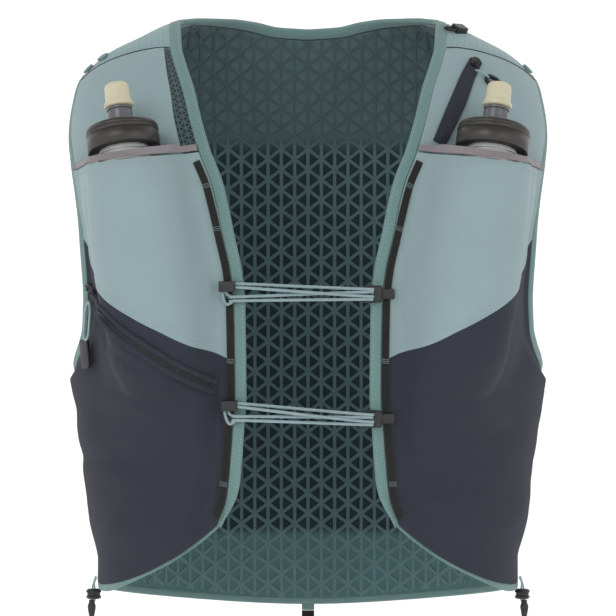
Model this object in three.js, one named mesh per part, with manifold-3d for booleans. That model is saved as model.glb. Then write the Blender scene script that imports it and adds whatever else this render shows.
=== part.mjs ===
// A running hydration vest with two soft flasks, shaped as it is worn.
// Millimetres, +Z up, the front faces -Y. Left and right are as seen from the front.
// The origin lies on the line of the neck, between the two shoulder seats.

import * as THREE from "three";
import { mergeVertices } from "three/addons/utils/BufferGeometryUtils.js";
import Module from "manifold-3d";

const wasm = await Module();
wasm.setup();

// Overall sizes of the body that the vest is shaped to
const SHOULDER_TOP = 19.5;
const VEST_HEIGHT = 414;
const CHEST_HALF_WIDTH = 168;
const FRONT_DEPTH = 118;
const BACK_DEPTH = 110;
const SQUARENESS = 2.3;

// Walls and the clearance between pieces that touch
const CLEARANCE = 0.3;
const MESH_WALL = 1.2;
const PANEL_WALL = 1.4;
const POCKET_WALL = 1.4;
const SHELL_WALL = 1.4;
const YOKE_WALL = 2.6;

// Edge tapes and rails
const BINDING_WIDTH = 7.5;
const BINDING_THICKNESS = 3.2;
const ARM_BINDING_WIDTH = 6;
const HEM_WIDTH = 4;
const HEM_THICKNESS = 2.6;
const RAIL_WIDTH = 5;
const RAIL_THICKNESS = 1.3;
const MOUTH_HEIGHT = 4.6;

// Flasks
const FLASK_HALF_WIDTH = 31;
const FLASK_DEPTH = 42;
const FLASK_LENGTH = 160;
const FLASK_WALL = 1.2;
const FLASK_LEAN = 6.3;
const FLASK_TOP_DROP = 0.264;
const FLASK_REACH = 0.655;
const FLASK_EDGE_POWER = 2.4;
const FLASK_ROOF_POWER = 0.6;
const LID_LEAN_OUT = 7.5;
const LID_LEAN_BACK = 15;
const NECK_RADIUS = 17;
const NECK_HEIGHT = 13;
const CAP_RADIUS = 24.6;
const CAP_HEIGHT = 19;
const CAP_TOP = 2.4;
const COLLAR_RADIUS = 8.6;
const COLLAR_HEIGHT = 11;
const VALVE_RADIUS = 10;
const VALVE_HEIGHT = 17;
const LID_CLEARANCE = 0.6;
const LID_RISE = 6;
const NECK_ROOT = 8;

// How the pockets stand off the panel: over the flask, below it and along their rims
const COVER_EXTRA = 2;
const COVER_MARGIN = 2.6;
const FLASK_EASE = 0.5;
const PANEL_END_DROP = 0.32;
const POCKET_FILL = 7;
const MOUTH_EASE = 1.6;
const RAIL_INSET = 0.6;
const RIM_START = 3;
const RIM_END = 17;
const ARMHOLE_RIM = 0.14;
const BACK_SWELL = 8;
const SEAM_GAP = 0.03;
const STRIP_SHARE = 0.1;

// Closure cords, their sliders and hooks
const CORD_DIAMETER = 2;
const SLIDER_WIDTH = 11.2;
const SLIDER_HEIGHT = 7;
const SLIDER_DEPTH = 4.6;
const SLIDER_LIP = 1.2;
const HOOK_LENGTH = 15;
const HOOK_RISE = 1;
const HOOK_REACH = 2;
const HOOK_HEIGHT = 12.8;
const HOOK_DEPTH = 4.4;
const HOOK_WALL = 1.4;
const CLAW_LENGTH = 7;

// Zips, pulls and small trim
const COIL_WIDTH = 4;
const COIL_REST = 1.3;
const COIL_THICKNESS = 1.5;
const FLAP_WIDTH = 9;
const FLAP_THICKNESS = 1.3;
const ZIP_SLIDER_LENGTH = 9;
const ZIP_SLIDER_WIDTH = 6;
const ZIP_SLIDER_HEIGHT = 3;
const ZIP_SLIDER_GAP = 1.6;
const ZIP_SLIDER_CORNER = 2;
const RING_LENGTH = 12;
const RING_HEIGHT = 9;
const RING_RIM = 2;
const RING_THICKNESS = 2;
const RING_ROLL = -35;
const PULL_CORD_DIAMETER = 1.8;
const PULL_TAB_LENGTH = 20;
const PULL_TAB_WIDTH = 11;
const PULL_TAB_THICKNESS = 2.2;
const PULL_TAB_CORNER = 3;
const PULL_TAB_ROLL = 4;
const LOCK_WIDTH = 10.5;
const LOCK_HEIGHT = 7;
const LOCK_DEPTH = 5.5;
const HEM_PULL_LENGTH = 15;
const HEM_PULL_WIDTH = 6.4;
const HEM_PULL_THICKNESS = 2;
const HEM_PULL_CORNER = 2;
const HEM_CORD_TURN = 40;
const HEM_TAB_WIDTH = 9;
const HEM_TAB_LENGTH = 5.6;
const HEM_LOOP_LENGTH = 4.6;
const THIN_CORD = 1.3;
const POLE_CORD = 1.8;
const POLE_LEVEL = 3;
const POLE_SINK = 1.5;
const TAB_WIDTH = 8;
const TAB_HEIGHT = 6.5;
const TAB_THICKNESS = 1.8;
const TAB_CORNER = 1.5;
const HEM_CORD_ACROSS = 0.88;
const YOKE_BACK_NECK = 102;

// How finely the pieces are divided
const CORD_SIDES = 8;
const ROUND_SIDES = 20;
const CHEST_CORD_STEPS = 40;
const MESH_COLUMNS = 6;
const CHEST_COLUMNS = 8;
const POCKET_COLUMNS = 12;
const YOKE_COLUMNS = 4;
const NECK_COLUMNS = 6;
const BACK_COLUMNS = NECK_COLUMNS + YOKE_COLUMNS;
const HEM_COLUMNS = 12;
const FLASK_STATIONS = [0, 0.05, 0.25, 0.5, 0.72, 0.88, 0.96, 1];
const FLASK_ARC_STEPS = 8;
const FLASK_BACK_STEPS = 4;

// How the body narrows and flattens. A row's place is a share of the vest's height below the
// shoulder line, its width a share of the chest's half width, its depths shares of the two depths.
const BODY = [
  { drop: 0.0, width: 0.41, front: 0.27, back: 0.45 },
  { drop: 0.007, width: 0.465, front: 0.29, back: 0.47 },
  { drop: 0.018, width: 0.577, front: 0.33, back: 0.5 },
  { drop: 0.041, width: 0.7, front: 0.4, back: 0.56 },
  { drop: 0.065, width: 0.815, front: 0.49, back: 0.62 },
  { drop: 0.088, width: 0.885, front: 0.58, back: 0.68 },
  { drop: 0.11, width: 0.93, front: 0.65, back: 0.73 },
  { drop: 0.134, width: 0.957, front: 0.72, back: 0.775 },
  { drop: 0.192, width: 0.985, front: 0.845, back: 0.86 },
  { drop: 0.289, width: 1.0, front: 0.945, back: 0.945 },
  { drop: 0.41, width: 1.0, front: 1.0, back: 1.0 },
  { drop: 0.53, width: 0.98, front: 1.0, back: 1.0 },
  { drop: 0.603, width: 0.949, front: 0.985, back: 0.985 },
  { drop: 0.65, width: 0.923, front: 0.97, back: 0.97 },
  { drop: 0.7, width: 0.908, front: 0.955, back: 0.955 },
  { drop: 0.75, width: 0.888, front: 0.94, back: 0.94 },
  { drop: 0.8, width: 0.872, front: 0.925, back: 0.93 },
  { drop: 0.9, width: 0.857, front: 0.905, back: 0.915 },
  { drop: 1.0, width: 0.857, front: 0.9, back: 0.91 },
];

// The front opening's edge: its reach from the middle as a share of the chest's half width.
const OPENING_EDGE = [
  { drop: 0.0157, reach: 0.57 },
  { drop: 0.041, reach: 0.565 },
  { drop: 0.065, reach: 0.56 },
  { drop: 0.1, reach: 0.535 },
  { drop: 0.137, reach: 0.504 },
  { drop: 0.183, reach: 0.475 },
  { drop: 0.241, reach: 0.433 },
  { drop: 0.293, reach: 0.383 },
  { drop: 0.382, reach: 0.334 },
  { drop: 0.436, reach: 0.306 },
  { drop: 0.489, reach: 0.294 },
  { drop: 0.634, reach: 0.29 },
  { drop: 0.683, reach: 0.298 },
  { drop: 0.794, reach: 0.321 },
  { drop: 0.844, reach: 0.362 },
];

// The armhole's two edges, as degrees round the body from the middle of the front.
const ARMHOLE = [
  { drop: 0.1, front: 90, back: 90 },
  { drop: 0.105, front: 86.6, back: 93.6 },
  { drop: 0.115, front: 84, back: 97 },
  { drop: 0.134, front: 82, back: 100.5 },
  { drop: 0.168, front: 80.5, back: 104.5 },
  { drop: 0.202, front: 79, back: 107 },
  { drop: 0.24, front: 75.5, back: 110 },
  { drop: 0.296, front: 71.5, back: 112 },
  { drop: 0.366, front: 68.4, back: 114 },
  { drop: 0.46, front: 66.7, back: 114 },
  { drop: 0.53, front: 68.5, back: 111.5 },
  { drop: 0.56, front: 72, back: 108 },
  { drop: 0.583, front: 78, back: 102 },
  { drop: 0.6, front: 85, back: 95 },
  { drop: 0.6075, front: 90, back: 90 },
];

// Where the neck's edge runs behind the shoulders, by degrees from the middle of the front.
const NECK_EDGE = [
  { angle: 90, drop: 0.0157 },
  { angle: 101, drop: 0.0105 },
  { angle: 112, drop: 0.0095 },
  { angle: 126, drop: 0.0105 },
  { angle: 142, drop: 0.0165 },
  { angle: 158, drop: 0.0255 },
  { angle: 180, drop: 0.029 },
];

// Seams and lines across one front: where each meets the opening and the armhole, how far it
// bows between them as a share of the height, and the steps from it to the next line.
const FRONT_LINES = [
  { name: "ridge", opening: 0.0157, armhole: 0.1, bow: 0, steps: 2 },
  { name: "seam", opening: 0.065, armhole: 0.115, bow: 0.016, steps: 2 },
  { name: "chest", opening: 0.15, armhole: 0.17, bow: -0.004, steps: 2 },
  { name: "mouth", opening: 0.2405, armhole: 0.264, bow: -0.03, steps: 4 },
  { name: "flask", opening: 0.41, armhole: 0.32, bow: -0.01, steps: 3 },
  { name: "colour", opening: 0.575, armhole: 0.375, bow: -0.022, steps: 3 },
  { name: "waist", opening: 0.67, armhole: 0.53, bow: -0.012, steps: 3 },
  { name: "armpit", opening: 0.73, armhole: 0.6075, bow: -0.01, steps: 2 },
  { name: "belly", opening: 0.785, armhole: 0.78, bow: -0.014, steps: 2 },
  { name: "hem", opening: 0.844, armhole: 0.947, bow: -0.041, steps: 0 },
];

// Lines across one half of the back, from the neck and yoke seam down to the hem.
const BACK_LINES = [
  { name: "top", side: 0.13, middle: 0.029, steps: 2 },
  { name: "blade", side: 0.24, middle: 0.17, steps: 3 },
  { name: "rib", side: 0.46, middle: 0.42, steps: 4 },
  { name: "armpit", side: 0.6075, middle: 0.61, steps: 2 },
  { name: "loin", side: 0.78, middle: 0.8, steps: 2 },
  { name: "hem", side: 0.947, middle: 1.0, steps: 0 },
];

// The flask's outline from its shoulder to its foot, as shares of half width and depth.
const FLASK_FORM = [
  { along: 0.0, width: 0.84, depth: 0.9 },
  { along: 0.06, width: 0.93, depth: 1.0 },
  { along: 0.35, width: 1.02, depth: 1.0 },
  { along: 0.75, width: 0.98, depth: 0.86 },
  { along: 0.9, width: 0.84, depth: 0.6 },
  { along: 1.0, width: 0.56, depth: 0.22 },
];

// Soft dents pressed into the two lower pockets.
const DENTS = [
  { side: -1, reach: 0.62, drop: 0.735, width: 0.3, height: 0.018, depth: 2.6 },
  { side: -1, reach: 0.5, drop: 0.83, width: 0.26, height: 0.016, depth: 2.2 },
  { side: -1, reach: 0.8, drop: 0.66, width: 0.16, height: 0.02, depth: 1.8 },
  { side: 1, reach: 0.55, drop: 0.78, width: 0.3, height: 0.02, depth: 2.4 },
  { side: 1, reach: 0.7, drop: 0.69, width: 0.2, height: 0.018, depth: 1.8 },
];

const RIGHT = 1;
const LEFT = -1;
const SIDES = [
  { side: LEFT, name: "left" },
  { side: RIGHT, name: "right" },
];

/** The value between two others at a share of the way. */
function mix(from, to, share) {
  return from + (to - from) * share;
}

/** A smooth step from 0 to 1 as a value passes from one limit to the other. */
function ease(low, high, value) {
  const t = Math.min(1, Math.max(0, (value - low) / (high - low)));
  return t * t * (3 - 2 * t);
}

/** A curve with no overshoot through one column of a table, read along another. */
function curve(rows, along, column) {
  const at = rows.map((row) => row[along]);
  const value = rows.map((row) => row[column]);
  const rise = at.slice(1).map((place, i) => (value[i + 1] - value[i]) / (place - at[i]));
  const slope = value.map((_, i) => {
    if (i === 0) return rise[0];
    if (i === value.length - 1) return rise[i - 1];
    if (rise[i - 1] * rise[i] <= 0) return 0;
    return (2 * rise[i - 1] * rise[i]) / (rise[i - 1] + rise[i]);
  });
  return (place) => {
    const last = at.length - 1;
    if (place <= at[0]) return value[0];
    if (place >= at[last]) return value[last];
    const i = at.findIndex((next, k) => k > 0 && place <= next) - 1;
    const span = at[i + 1] - at[i];
    const t = (place - at[i]) / span;
    const start = (1 + 2 * t) * (1 - t) ** 2 * value[i] + t * (1 - t) ** 2 * span * slope[i];
    const end = t * t * (3 - 2 * t) * value[i + 1] + t * t * (t - 1) * span * slope[i + 1];
    return start + end;
  };
}

const bodyWidth = curve(BODY, "drop", "width");
const bodyFront = curve(BODY, "drop", "front");
const bodyBack = curve(BODY, "drop", "back");
const openingReach = curve(OPENING_EDGE, "drop", "reach");
const armholeFront = curve(ARMHOLE, "drop", "front");
const armholeBack = curve(ARMHOLE, "drop", "back");
const neckDrop = curve(NECK_EDGE, "angle", "drop");
const flaskWidth = curve(FLASK_FORM, "along", "width");
const flaskDepth = curve(FLASK_FORM, "along", "depth");

/** The share of the vest's height that a height lies below the shoulder line. */
function dropOf(z) {
  return (SHOULDER_TOP - z) / VEST_HEIGHT;
}

/** The height of a share of the vest's height below the shoulder line. */
function heightOf(drop) {
  return SHOULDER_TOP - drop * VEST_HEIGHT;
}

/** The body's surface at an angle round it, from the middle of the front, and a height. */
function bodyPoint(angle, z) {
  const turn = THREE.MathUtils.degToRad(angle);
  const across = Math.sin(turn);
  const ahead = Math.cos(turn);
  const drop = dropOf(z);
  const width = CHEST_HALF_WIDTH * bodyWidth(drop);
  const depth = ahead > 0 ? FRONT_DEPTH * bodyFront(drop) : BACK_DEPTH * bodyBack(drop);
  const sum = Math.abs(across / width) ** SQUARENESS + Math.abs(ahead / depth) ** SQUARENESS;
  const radius = sum ** (-1 / SQUARENESS);
  return new THREE.Vector3(radius * across, -radius * ahead, z);
}

/** The direction that leaves the body's surface, from its slopes along and across. */
function bodyNormal(angle, z) {
  const turnStep = 0.5;
  const heightStep = 1;
  const along = bodyPoint(angle + turnStep, z).sub(bodyPoint(angle - turnStep, z));
  const up = bodyPoint(angle, z + heightStep).sub(bodyPoint(angle, z - heightStep));
  return along.cross(up).normalize();
}

/** A point lifted off the body. */
function offBody(angle, z, lift) {
  return bodyPoint(angle, z).addScaledVector(bodyNormal(angle, z), lift);
}

/** The angle of the front surface at a distance from the middle. */
function frontAngle(x, z) {
  const drop = dropOf(z);
  const share = Math.min(1, Math.abs(x) / (CHEST_HALF_WIDTH * bodyWidth(drop)));
  const ahead = FRONT_DEPTH * bodyFront(drop) * (1 - share ** SQUARENESS) ** (1 / SQUARENESS);
  return THREE.MathUtils.radToDeg(Math.atan2(Math.abs(x), ahead));
}

/** The angle of the front opening's edge at a height. */
function openingAngle(drop) {
  return frontAngle(CHEST_HALF_WIDTH * openingReach(drop), heightOf(drop));
}

/** The rows of a table of lines with the count of steps before each one. */
function numbered(lines) {
  let count = 0;
  return lines.map((line) => {
    const row = { ...line, at: count };
    count += line.steps;
    return row;
  });
}

const frontRows = numbered(FRONT_LINES);
const backRows = numbered(BACK_LINES);
const frontOpening = curve(frontRows, "at", "opening");
const frontArmhole = curve(frontRows, "at", "armhole");
const frontBow = curve(frontRows, "at", "bow");
const backSide = curve(backRows, "at", "side");
const backMiddle = curve(backRows, "at", "middle");

/** The number of a named line. */
function lineAt(rows, name) {
  return rows.find((row) => row.name === name).at;
}

/** A place on one front: a share across from the opening to the armhole, on a numbered line. */
function frontPlace(across, line) {
  const opening = frontOpening(line);
  const armhole = frontArmhole(line);
  const bow = frontBow(line) * 4 * across * (1 - across);
  return {
    angle: mix(openingAngle(opening), armholeFront(armhole), across),
    z: heightOf(mix(opening, armhole, across) - bow),
  };
}

/** A place on the yoke behind the ridge: a share across from the neck, a share back. */
function yokePlace(across, back) {
  const ridge = frontPlace(across, 0);
  const armDrop = mix(frontArmhole(0), BACK_LINES[0].side, back);
  const neckAngle = mix(90, YOKE_BACK_NECK, back);
  const neck = { angle: neckAngle, z: heightOf(neckDrop(neckAngle)) };
  const arm = { angle: armholeBack(armDrop), z: heightOf(armDrop) };
  const bend = mix(heightOf(neckDrop(90)), heightOf(frontArmhole(0)), across);
  return {
    angle: mix(neck.angle, arm.angle, across),
    z: mix(neck.z, arm.z, across) + (ridge.z - bend),
  };
}

/** The back's top edge, by column from the middle of the back to the arm. */
function backTop(column) {
  if (column <= NECK_COLUMNS) {
    const angle = mix(180, YOKE_BACK_NECK, column / NECK_COLUMNS);
    return { angle, z: heightOf(neckDrop(angle)) };
  }
  return yokePlace((column - NECK_COLUMNS) / YOKE_COLUMNS, 1);
}

/** A place on the back: a column from -1 at the left edge to 1 at the right, on a line. */
function backPlace(across, line) {
  const far = Math.abs(across);
  const last = lineAt(backRows, "hem");
  const top = backTop(far * BACK_COLUMNS);
  const side = backSide(line);
  const middle = backMiddle(line);
  const edge = armholeBack(side);
  const fade = 1 - ease(0, last * 0.45, line);
  const topEdge = backTop(BACK_COLUMNS);
  const plainAngle = mix(180, topEdge.angle, far);
  const plainZ = mix(heightOf(BACK_LINES[0].middle), topEdge.z, far * far);
  const angle = mix(180, edge, far) + (top.angle - plainAngle) * fade;
  const z = mix(heightOf(middle), heightOf(side), far * far) + (top.z - plainZ) * fade;
  return { angle: across < 0 ? 360 - angle : angle, z };
}

/** Whole numbers from one value to another, each divided by a count. */
function steps(from, to, each = 1) {
  const count = Math.round((to - from) * each);
  return Array.from({ length: count + 1 }, (_, i) => from + i / each);
}

/** A closed body from corners and triangles, turned so that its faces point out. */
function closedBody(corners, triangles) {
  let volume = 0;
  for (const [a, b, c] of triangles) {
    volume += corners[a].dot(new THREE.Vector3().crossVectors(corners[b], corners[c]));
  }
  const order = volume > 0 ? [0, 1, 2] : [0, 2, 1];
  const geometry = new THREE.BufferGeometry();
  const positions = corners.flatMap((corner) => corner.toArray());
  geometry.setAttribute("position", new THREE.Float32BufferAttribute(positions, 3));
  geometry.setIndex(triangles.flatMap((face) => order.map((k) => face[k])));
  return geometry;
}

/** A sheet of cloth over a grid of places, between two heights off the body. */
function sheet(grid, inner, outer, side = RIGHT) {
  const rows = grid.length;
  const columns = grid[0].length;
  const corners = [];
  for (const height of [inner, outer]) {
    for (const row of grid) {
      for (const place of row) {
        const point = offBody(place.angle, place.z, height(place.angle, place.z, side));
        corners.push(new THREE.Vector3(point.x * side, point.y, point.z));
      }
    }
  }
  const layer = rows * columns;
  const at = (row, column, top) => row * columns + column + (top ? layer : 0);
  const triangles = [];
  const quad = (a, b, c, d) => triangles.push([a, b, c], [a, c, d]);
  for (let i = 0; i < rows - 1; i += 1) {
    for (let j = 0; j < columns - 1; j += 1) {
      quad(at(i, j, true), at(i + 1, j, true), at(i + 1, j + 1, true), at(i, j + 1, true));
      quad(at(i, j, false), at(i, j + 1, false), at(i + 1, j + 1, false), at(i + 1, j, false));
    }
  }
  for (let i = 0; i < rows - 1; i += 1) {
    const far = columns - 1;
    quad(at(i, 0, false), at(i + 1, 0, false), at(i + 1, 0, true), at(i, 0, true));
    quad(at(i, far, true), at(i + 1, far, true), at(i + 1, far, false), at(i, far, false));
  }
  for (let j = 0; j < columns - 1; j += 1) {
    const far = rows - 1;
    quad(at(0, j, true), at(0, j + 1, true), at(0, j + 1, false), at(0, j, false));
    quad(at(far, j, false), at(far, j + 1, false), at(far, j + 1, true), at(far, j, true));
  }
  return closedBody(corners, triangles);
}

/** A strip with a constant or growing section, swept through stations. */
function ribbon(stations, section, closed = false) {
  const corners = [];
  stations.forEach((station, i) => {
    for (const [across, up] of section(i / (stations.length - 1))) {
      const point = station.point.clone();
      point.addScaledVector(station.across, across).addScaledVector(station.up, up);
      corners.push(point);
    }
  });
  const count = section(0).length;
  const triangles = [];
  const spans = closed ? stations.length : stations.length - 1;
  for (let i = 0; i < spans; i += 1) {
    const next = (i + 1) % stations.length;
    for (let k = 0; k < count; k += 1) {
      const turn = (k + 1) % count;
      triangles.push([i * count + k, next * count + k, next * count + turn]);
      triangles.push([i * count + k, next * count + turn, i * count + turn]);
    }
  }
  if (!closed) {
    const end = (stations.length - 1) * count;
    for (let k = 1; k < count - 1; k += 1) {
      triangles.push([0, k, k + 1]);
      triangles.push([end, end + k + 1, end + k]);
    }
  }
  return closedBody(corners, triangles);
}

/** Stations along places on the body, with the side direction on the left of the path. */
function stationsOn(places, lift, side = RIGHT, closed = false) {
  const points = places.map((place) => {
    const height = typeof lift === "function" ? lift(place.angle, place.z, side) : lift;
    const point = offBody(place.angle, place.z, height);
    return new THREE.Vector3(point.x * side, point.y, point.z);
  });
  return places.map((place, i) => {
    const before = points[closed ? (i + points.length - 1) % points.length : Math.max(0, i - 1)];
    const after = points[closed ? (i + 1) % points.length : Math.min(points.length - 1, i + 1)];
    const ahead = after.clone().sub(before).normalize();
    const layered = typeof lift === "function";
    const normal = layered ? skinNormal(place, lift, side) : bodyNormal(place.angle, place.z);
    const up = new THREE.Vector3(normal.x * side, normal.y, normal.z);
    const across = new THREE.Vector3().crossVectors(up, ahead).normalize().multiplyScalar(side);
    up.addScaledVector(ahead, -up.dot(ahead)).normalize();
    return { point: points[i], up, across };
  });
}

/** The direction that leaves a layer whose height off the body changes from place to place. */
function skinNormal(place, lift, side) {
  const at = (angle, z) => offBody(angle, z, lift(angle, z, side));
  const turnStep = 1;
  const heightStep = 2;
  const along = at(place.angle + turnStep, place.z).sub(at(place.angle - turnStep, place.z));
  const up = at(place.angle, place.z + heightStep).sub(at(place.angle, place.z - heightStep));
  return along.cross(up).normalize();
}

/** A strip's section: flat below, with its two upper edges softened. */
function tape(from, to, low, high) {
  const round = Math.min((high - low) * 0.4, (to - from) * 0.3);
  return [
    [from, low],
    [to, low],
    [to, high - round],
    [to - round, high],
    [from + round, high],
    [from, high - round],
  ];
}

/** A strip's plain four-sided section. */
function bar(from, to, low, high) {
  return [
    [from, low],
    [to, low],
    [to, high],
    [from, high],
  ];
}

/** A round tube along points, open-ended or joined into a ring. */
function tube(points, diameter, stepCount, closed = false) {
  const circle = new THREE.Shape();
  for (let k = 0; k < CORD_SIDES; k += 1) {
    const turn = (2 * Math.PI * k) / CORD_SIDES;
    const x = (diameter / 2) * Math.cos(turn);
    const y = (diameter / 2) * Math.sin(turn);
    if (k === 0) circle.moveTo(x, y);
    else circle.lineTo(x, y);
  }
  circle.closePath();
  const path = new THREE.CatmullRomCurve3(points, closed, "centripetal");
  return new THREE.ExtrudeGeometry(circle, { steps: stepCount, bevelEnabled: false, extrudePath: path });
}

/** A solid for joining and cutting, from a closed geometry. */
function solidOf(geometry) {
  const bare = geometry.clone();
  bare.deleteAttribute("normal");
  bare.deleteAttribute("uv");
  const merged = mergeVertices(bare, 1e-4);
  const vertProperties = new Float32Array(merged.attributes.position.array);
  const triVerts = new Uint32Array(merged.index.array);
  return new wasm.Manifold(new wasm.Mesh({ numProp: 3, vertProperties, triVerts }));
}

/** A geometry from a solid. */
function geometryOf(solid) {
  const mesh = solid.getMesh();
  const geometry = new THREE.BufferGeometry();
  const positions = new Float32Array((mesh.vertProperties.length / mesh.numProp) * 3);
  for (let i = 0; i < positions.length / 3; i += 1) {
    positions.set(mesh.vertProperties.slice(i * mesh.numProp, i * mesh.numProp + 3), i * 3);
  }
  geometry.setAttribute("position", new THREE.BufferAttribute(positions, 3));
  geometry.setIndex(Array.from(mesh.triVerts));
  return geometry;
}

const vest = new THREE.Group();

/** A finish: colour, roughness and how metallic it is. */
function finish(color, roughness, metalness = 0) {
  return { color, roughness, metalness };
}

const LIGHT_CLOTH = finish(0x93a6aa, 0.8);
const YOKE_CLOTH = finish(0x8aa4a8, 0.8);
const DARK_CLOTH = finish(0x43474f, 0.85);
const RIB_CLOTH = finish(0x4b6264, 0.85);
const SHELL_CLOTH = finish(0x2a3c40, 0.9);
const TAPE = finish(0x73938c, 0.8);
const RAIL_TAPE = finish(0x2a2422, 0.8);
const MOUTH_TAPE = finish(0x8b8487, 0.7);
const CAP_PLASTIC = finish(0x2e2925, 0.5);
const COLLAR_PLASTIC = finish(0x54585d, 0.45);
const VALVE_RUBBER = finish(0xc7c1a9, 0.5);
const FLASK_FILM = finish(0x9fb0b4, 0.35);
const CORD = finish(0x8fa7ac, 0.8);
const TRIM_PLASTIC = finish(0x2b2d33, 0.5);

/** Adds a named piece to a group. */
function add(name, geometry, look, group = vest) {
  const mesh = new THREE.Mesh(geometry, new THREE.MeshStandardMaterial(look));
  mesh.name = name;
  group.add(mesh);
  return mesh;
}

// Heights of the layers off the body
const PANEL_LOW = MESH_WALL + CLEARANCE + 0.1;
const PANEL_HIGH = PANEL_LOW + PANEL_WALL;
const FLASK_BACK = PANEL_HIGH + CLEARANCE;
const FLASK_SEAT = FLASK_BACK + FLASK_EASE;
const FLASK_SHOULDER = heightOf(FLASK_TOP_DROP);
const RAIL_ZONE = RAIL_WIDTH + 2 * RAIL_INSET;

/** How far down its length a height lies on the flask, as a share. */
function alongFlask(z) {
  return (FLASK_SHOULDER - z) / FLASK_LENGTH;
}

/** The angle of the flask's middle line at a height. */
function flaskAngle(z) {
  const lean = Math.tan(THREE.MathUtils.degToRad(FLASK_LEAN));
  return frontAngle(CHEST_HALF_WIDTH * FLASK_REACH + (z - FLASK_SHOULDER) * lean, z);
}

/** The distance of a place from the flask's middle line, across it. */
function besideFlask(angle, z) {
  return bodyPoint(angle, z).distanceTo(bodyPoint(flaskAngle(z), z));
}

/** The depth of the flask, or of what covers it with a margin, beside its middle line. */
function flaskSwell(beside, z, margin = 0, extra = 0) {
  const along = Math.min(1, Math.max(0, alongFlask(z)));
  const width = FLASK_HALF_WIDTH * flaskWidth(along) + margin;
  const share = Math.min(1, beside / width);
  return (FLASK_DEPTH * flaskDepth(along) + extra) * (1 - share ** FLASK_EDGE_POWER) ** FLASK_ROOF_POWER;
}

/** The share of the way across one front from the opening to the armhole. */
function shareAcross(angle, z) {
  const drop = dropOf(z);
  const near = openingAngle(drop);
  const far = drop < ARMHOLE.at(-1).drop ? armholeFront(drop) : 90;
  return Math.min(1, Math.max(0, (angle - near) / (far - near)));
}

/** How deep the dents press into a pocket at a place. */
function dentDepth(angle, z, side) {
  const x = bodyPoint(angle, z).x;
  let depth = 0;
  for (const dent of DENTS) {
    if (dent.side !== side) continue;
    const across = (x - dent.reach * CHEST_HALF_WIDTH) / (dent.width * CHEST_HALF_WIDTH);
    const down = (dropOf(z) - dent.drop) / dent.height;
    depth += dent.depth * Math.exp(-across * across - down * down);
  }
  return depth;
}

/** The height of a pocket's inner face: over the flask, then down to the panel beside it. */
function pocketLow(angle, z, side) {
  const drop = dropOf(z);
  const base = mix(FLASK_BACK, PANEL_LOW, ease(PANEL_END_DROP, PANEL_END_DROP + 0.05, drop));
  const across = shareAcross(angle, z);
  const inward = bodyPoint(angle, z).distanceTo(bodyPoint(openingAngle(drop), z));
  const rim = ease(RAIL_ZONE + RIM_START, RAIL_ZONE + RIM_END, inward) * ease(0, ARMHOLE_RIM, 1 - across);
  const beside = besideFlask(angle, z);
  const along = alongFlask(z);
  const share = Math.min(1, Math.max(0, along));
  const foot = 1 - ease(0.94, 1.3, along);
  const reach = FLASK_HALF_WIDTH * 2.2;
  const skirt = beside < reach ? Math.cos((Math.PI * beside) / (2 * reach)) ** 2 : 0;
  const tail = 0.8 * FLASK_DEPTH * Math.max(0.5, flaskDepth(share)) * skirt * foot * rim;
  const fill = POCKET_FILL * ease(0.42, 0.66, drop) * ease(0, 0.1, 0.93 - drop) * rim;
  const soft = Math.max(0, fill - dentDepth(angle, z, side) * rim);
  const swell = flaskSwell(beside, z, COVER_MARGIN, COVER_EXTRA);
  const cover = swell > 0 && along <= 1.02 ? FLASK_SEAT + swell : 0;
  return Math.max(base + Math.hypot(tail, soft), cover);
}

/** The height of a pocket's outer face. */
function pocketHigh(angle, z, side) {
  return pocketLow(angle, z, side) + POCKET_WALL;
}

const flat = (height) => () => height;
const SEAM = lineAt(frontRows, "seam");
const MOUTH = lineAt(frontRows, "mouth");
const COLOUR = lineAt(frontRows, "colour");
const HEM = lineAt(frontRows, "hem");
const BACK_HEM = lineAt(backRows, "hem");

/** A grid of places on one front. */
function frontGrid(acrossFrom, columns, lines) {
  const shares = steps(0, columns).map((k) => mix(acrossFrom, 1, k / columns));
  return lines.map((line) => shares.map((across) => frontPlace(across, line)));
}

/** The length of a line from the opening to the armhole. */
function spanOf(line) {
  const near = frontPlace(0, line);
  const far = frontPlace(1, line);
  return bodyPoint(near.angle, near.z).distanceTo(bodyPoint(far.angle, far.z));
}

/** A grid for a pocket: its first column is as wide as the rail's zone. */
function pocketGrid(lines) {
  return lines.map((line) => {
    const zone = RAIL_ZONE / spanOf(line);
    const shares = steps(1, POCKET_COLUMNS).map((k) => mix(zone, 1, (k - 1) / (POCKET_COLUMNS - 1)));
    return [0, ...shares].map((across) => frontPlace(across, line));
  });
}

/** Lines between two numbered ones, the end ones moved in by the seam's gap. */
function linesBetween(from, to, each = 1, gapBefore = SEAM_GAP, gapAfter = SEAM_GAP) {
  const lines = steps(from, to, each);
  lines[0] += gapBefore;
  lines[lines.length - 1] -= gapAfter;
  return lines;
}

// The back: an inner ribbed mesh and an outer shell
function makeBack() {
  const shares = steps(-BACK_COLUMNS, BACK_COLUMNS).map((k) => k / BACK_COLUMNS);
  const grid = linesBetween(0, BACK_HEM, 1, SEAM_GAP, 0).map((line) =>
    shares.map((across) => backPlace(across, line)),
  );
  add("back_mesh", sheet(grid, flat(0), flat(MESH_WALL)), RIB_CLOTH);
  const shellLow = (angle, z) => {
    const drop = dropOf(z);
    const middle = Math.sin(THREE.MathUtils.degToRad(Math.abs(180 - angle)));
    const swell = ease(0.06, 0.3, drop) * ease(0, 0.25, 1 - drop) * (1 - middle ** 4);
    return MESH_WALL + CLEARANCE + BACK_SWELL * swell;
  };
  const shellHigh = (angle, z) => shellLow(angle, z) + SHELL_WALL;
  add("back_shell", sheet(grid, shellLow, shellHigh), SHELL_CLOTH);
}

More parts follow.
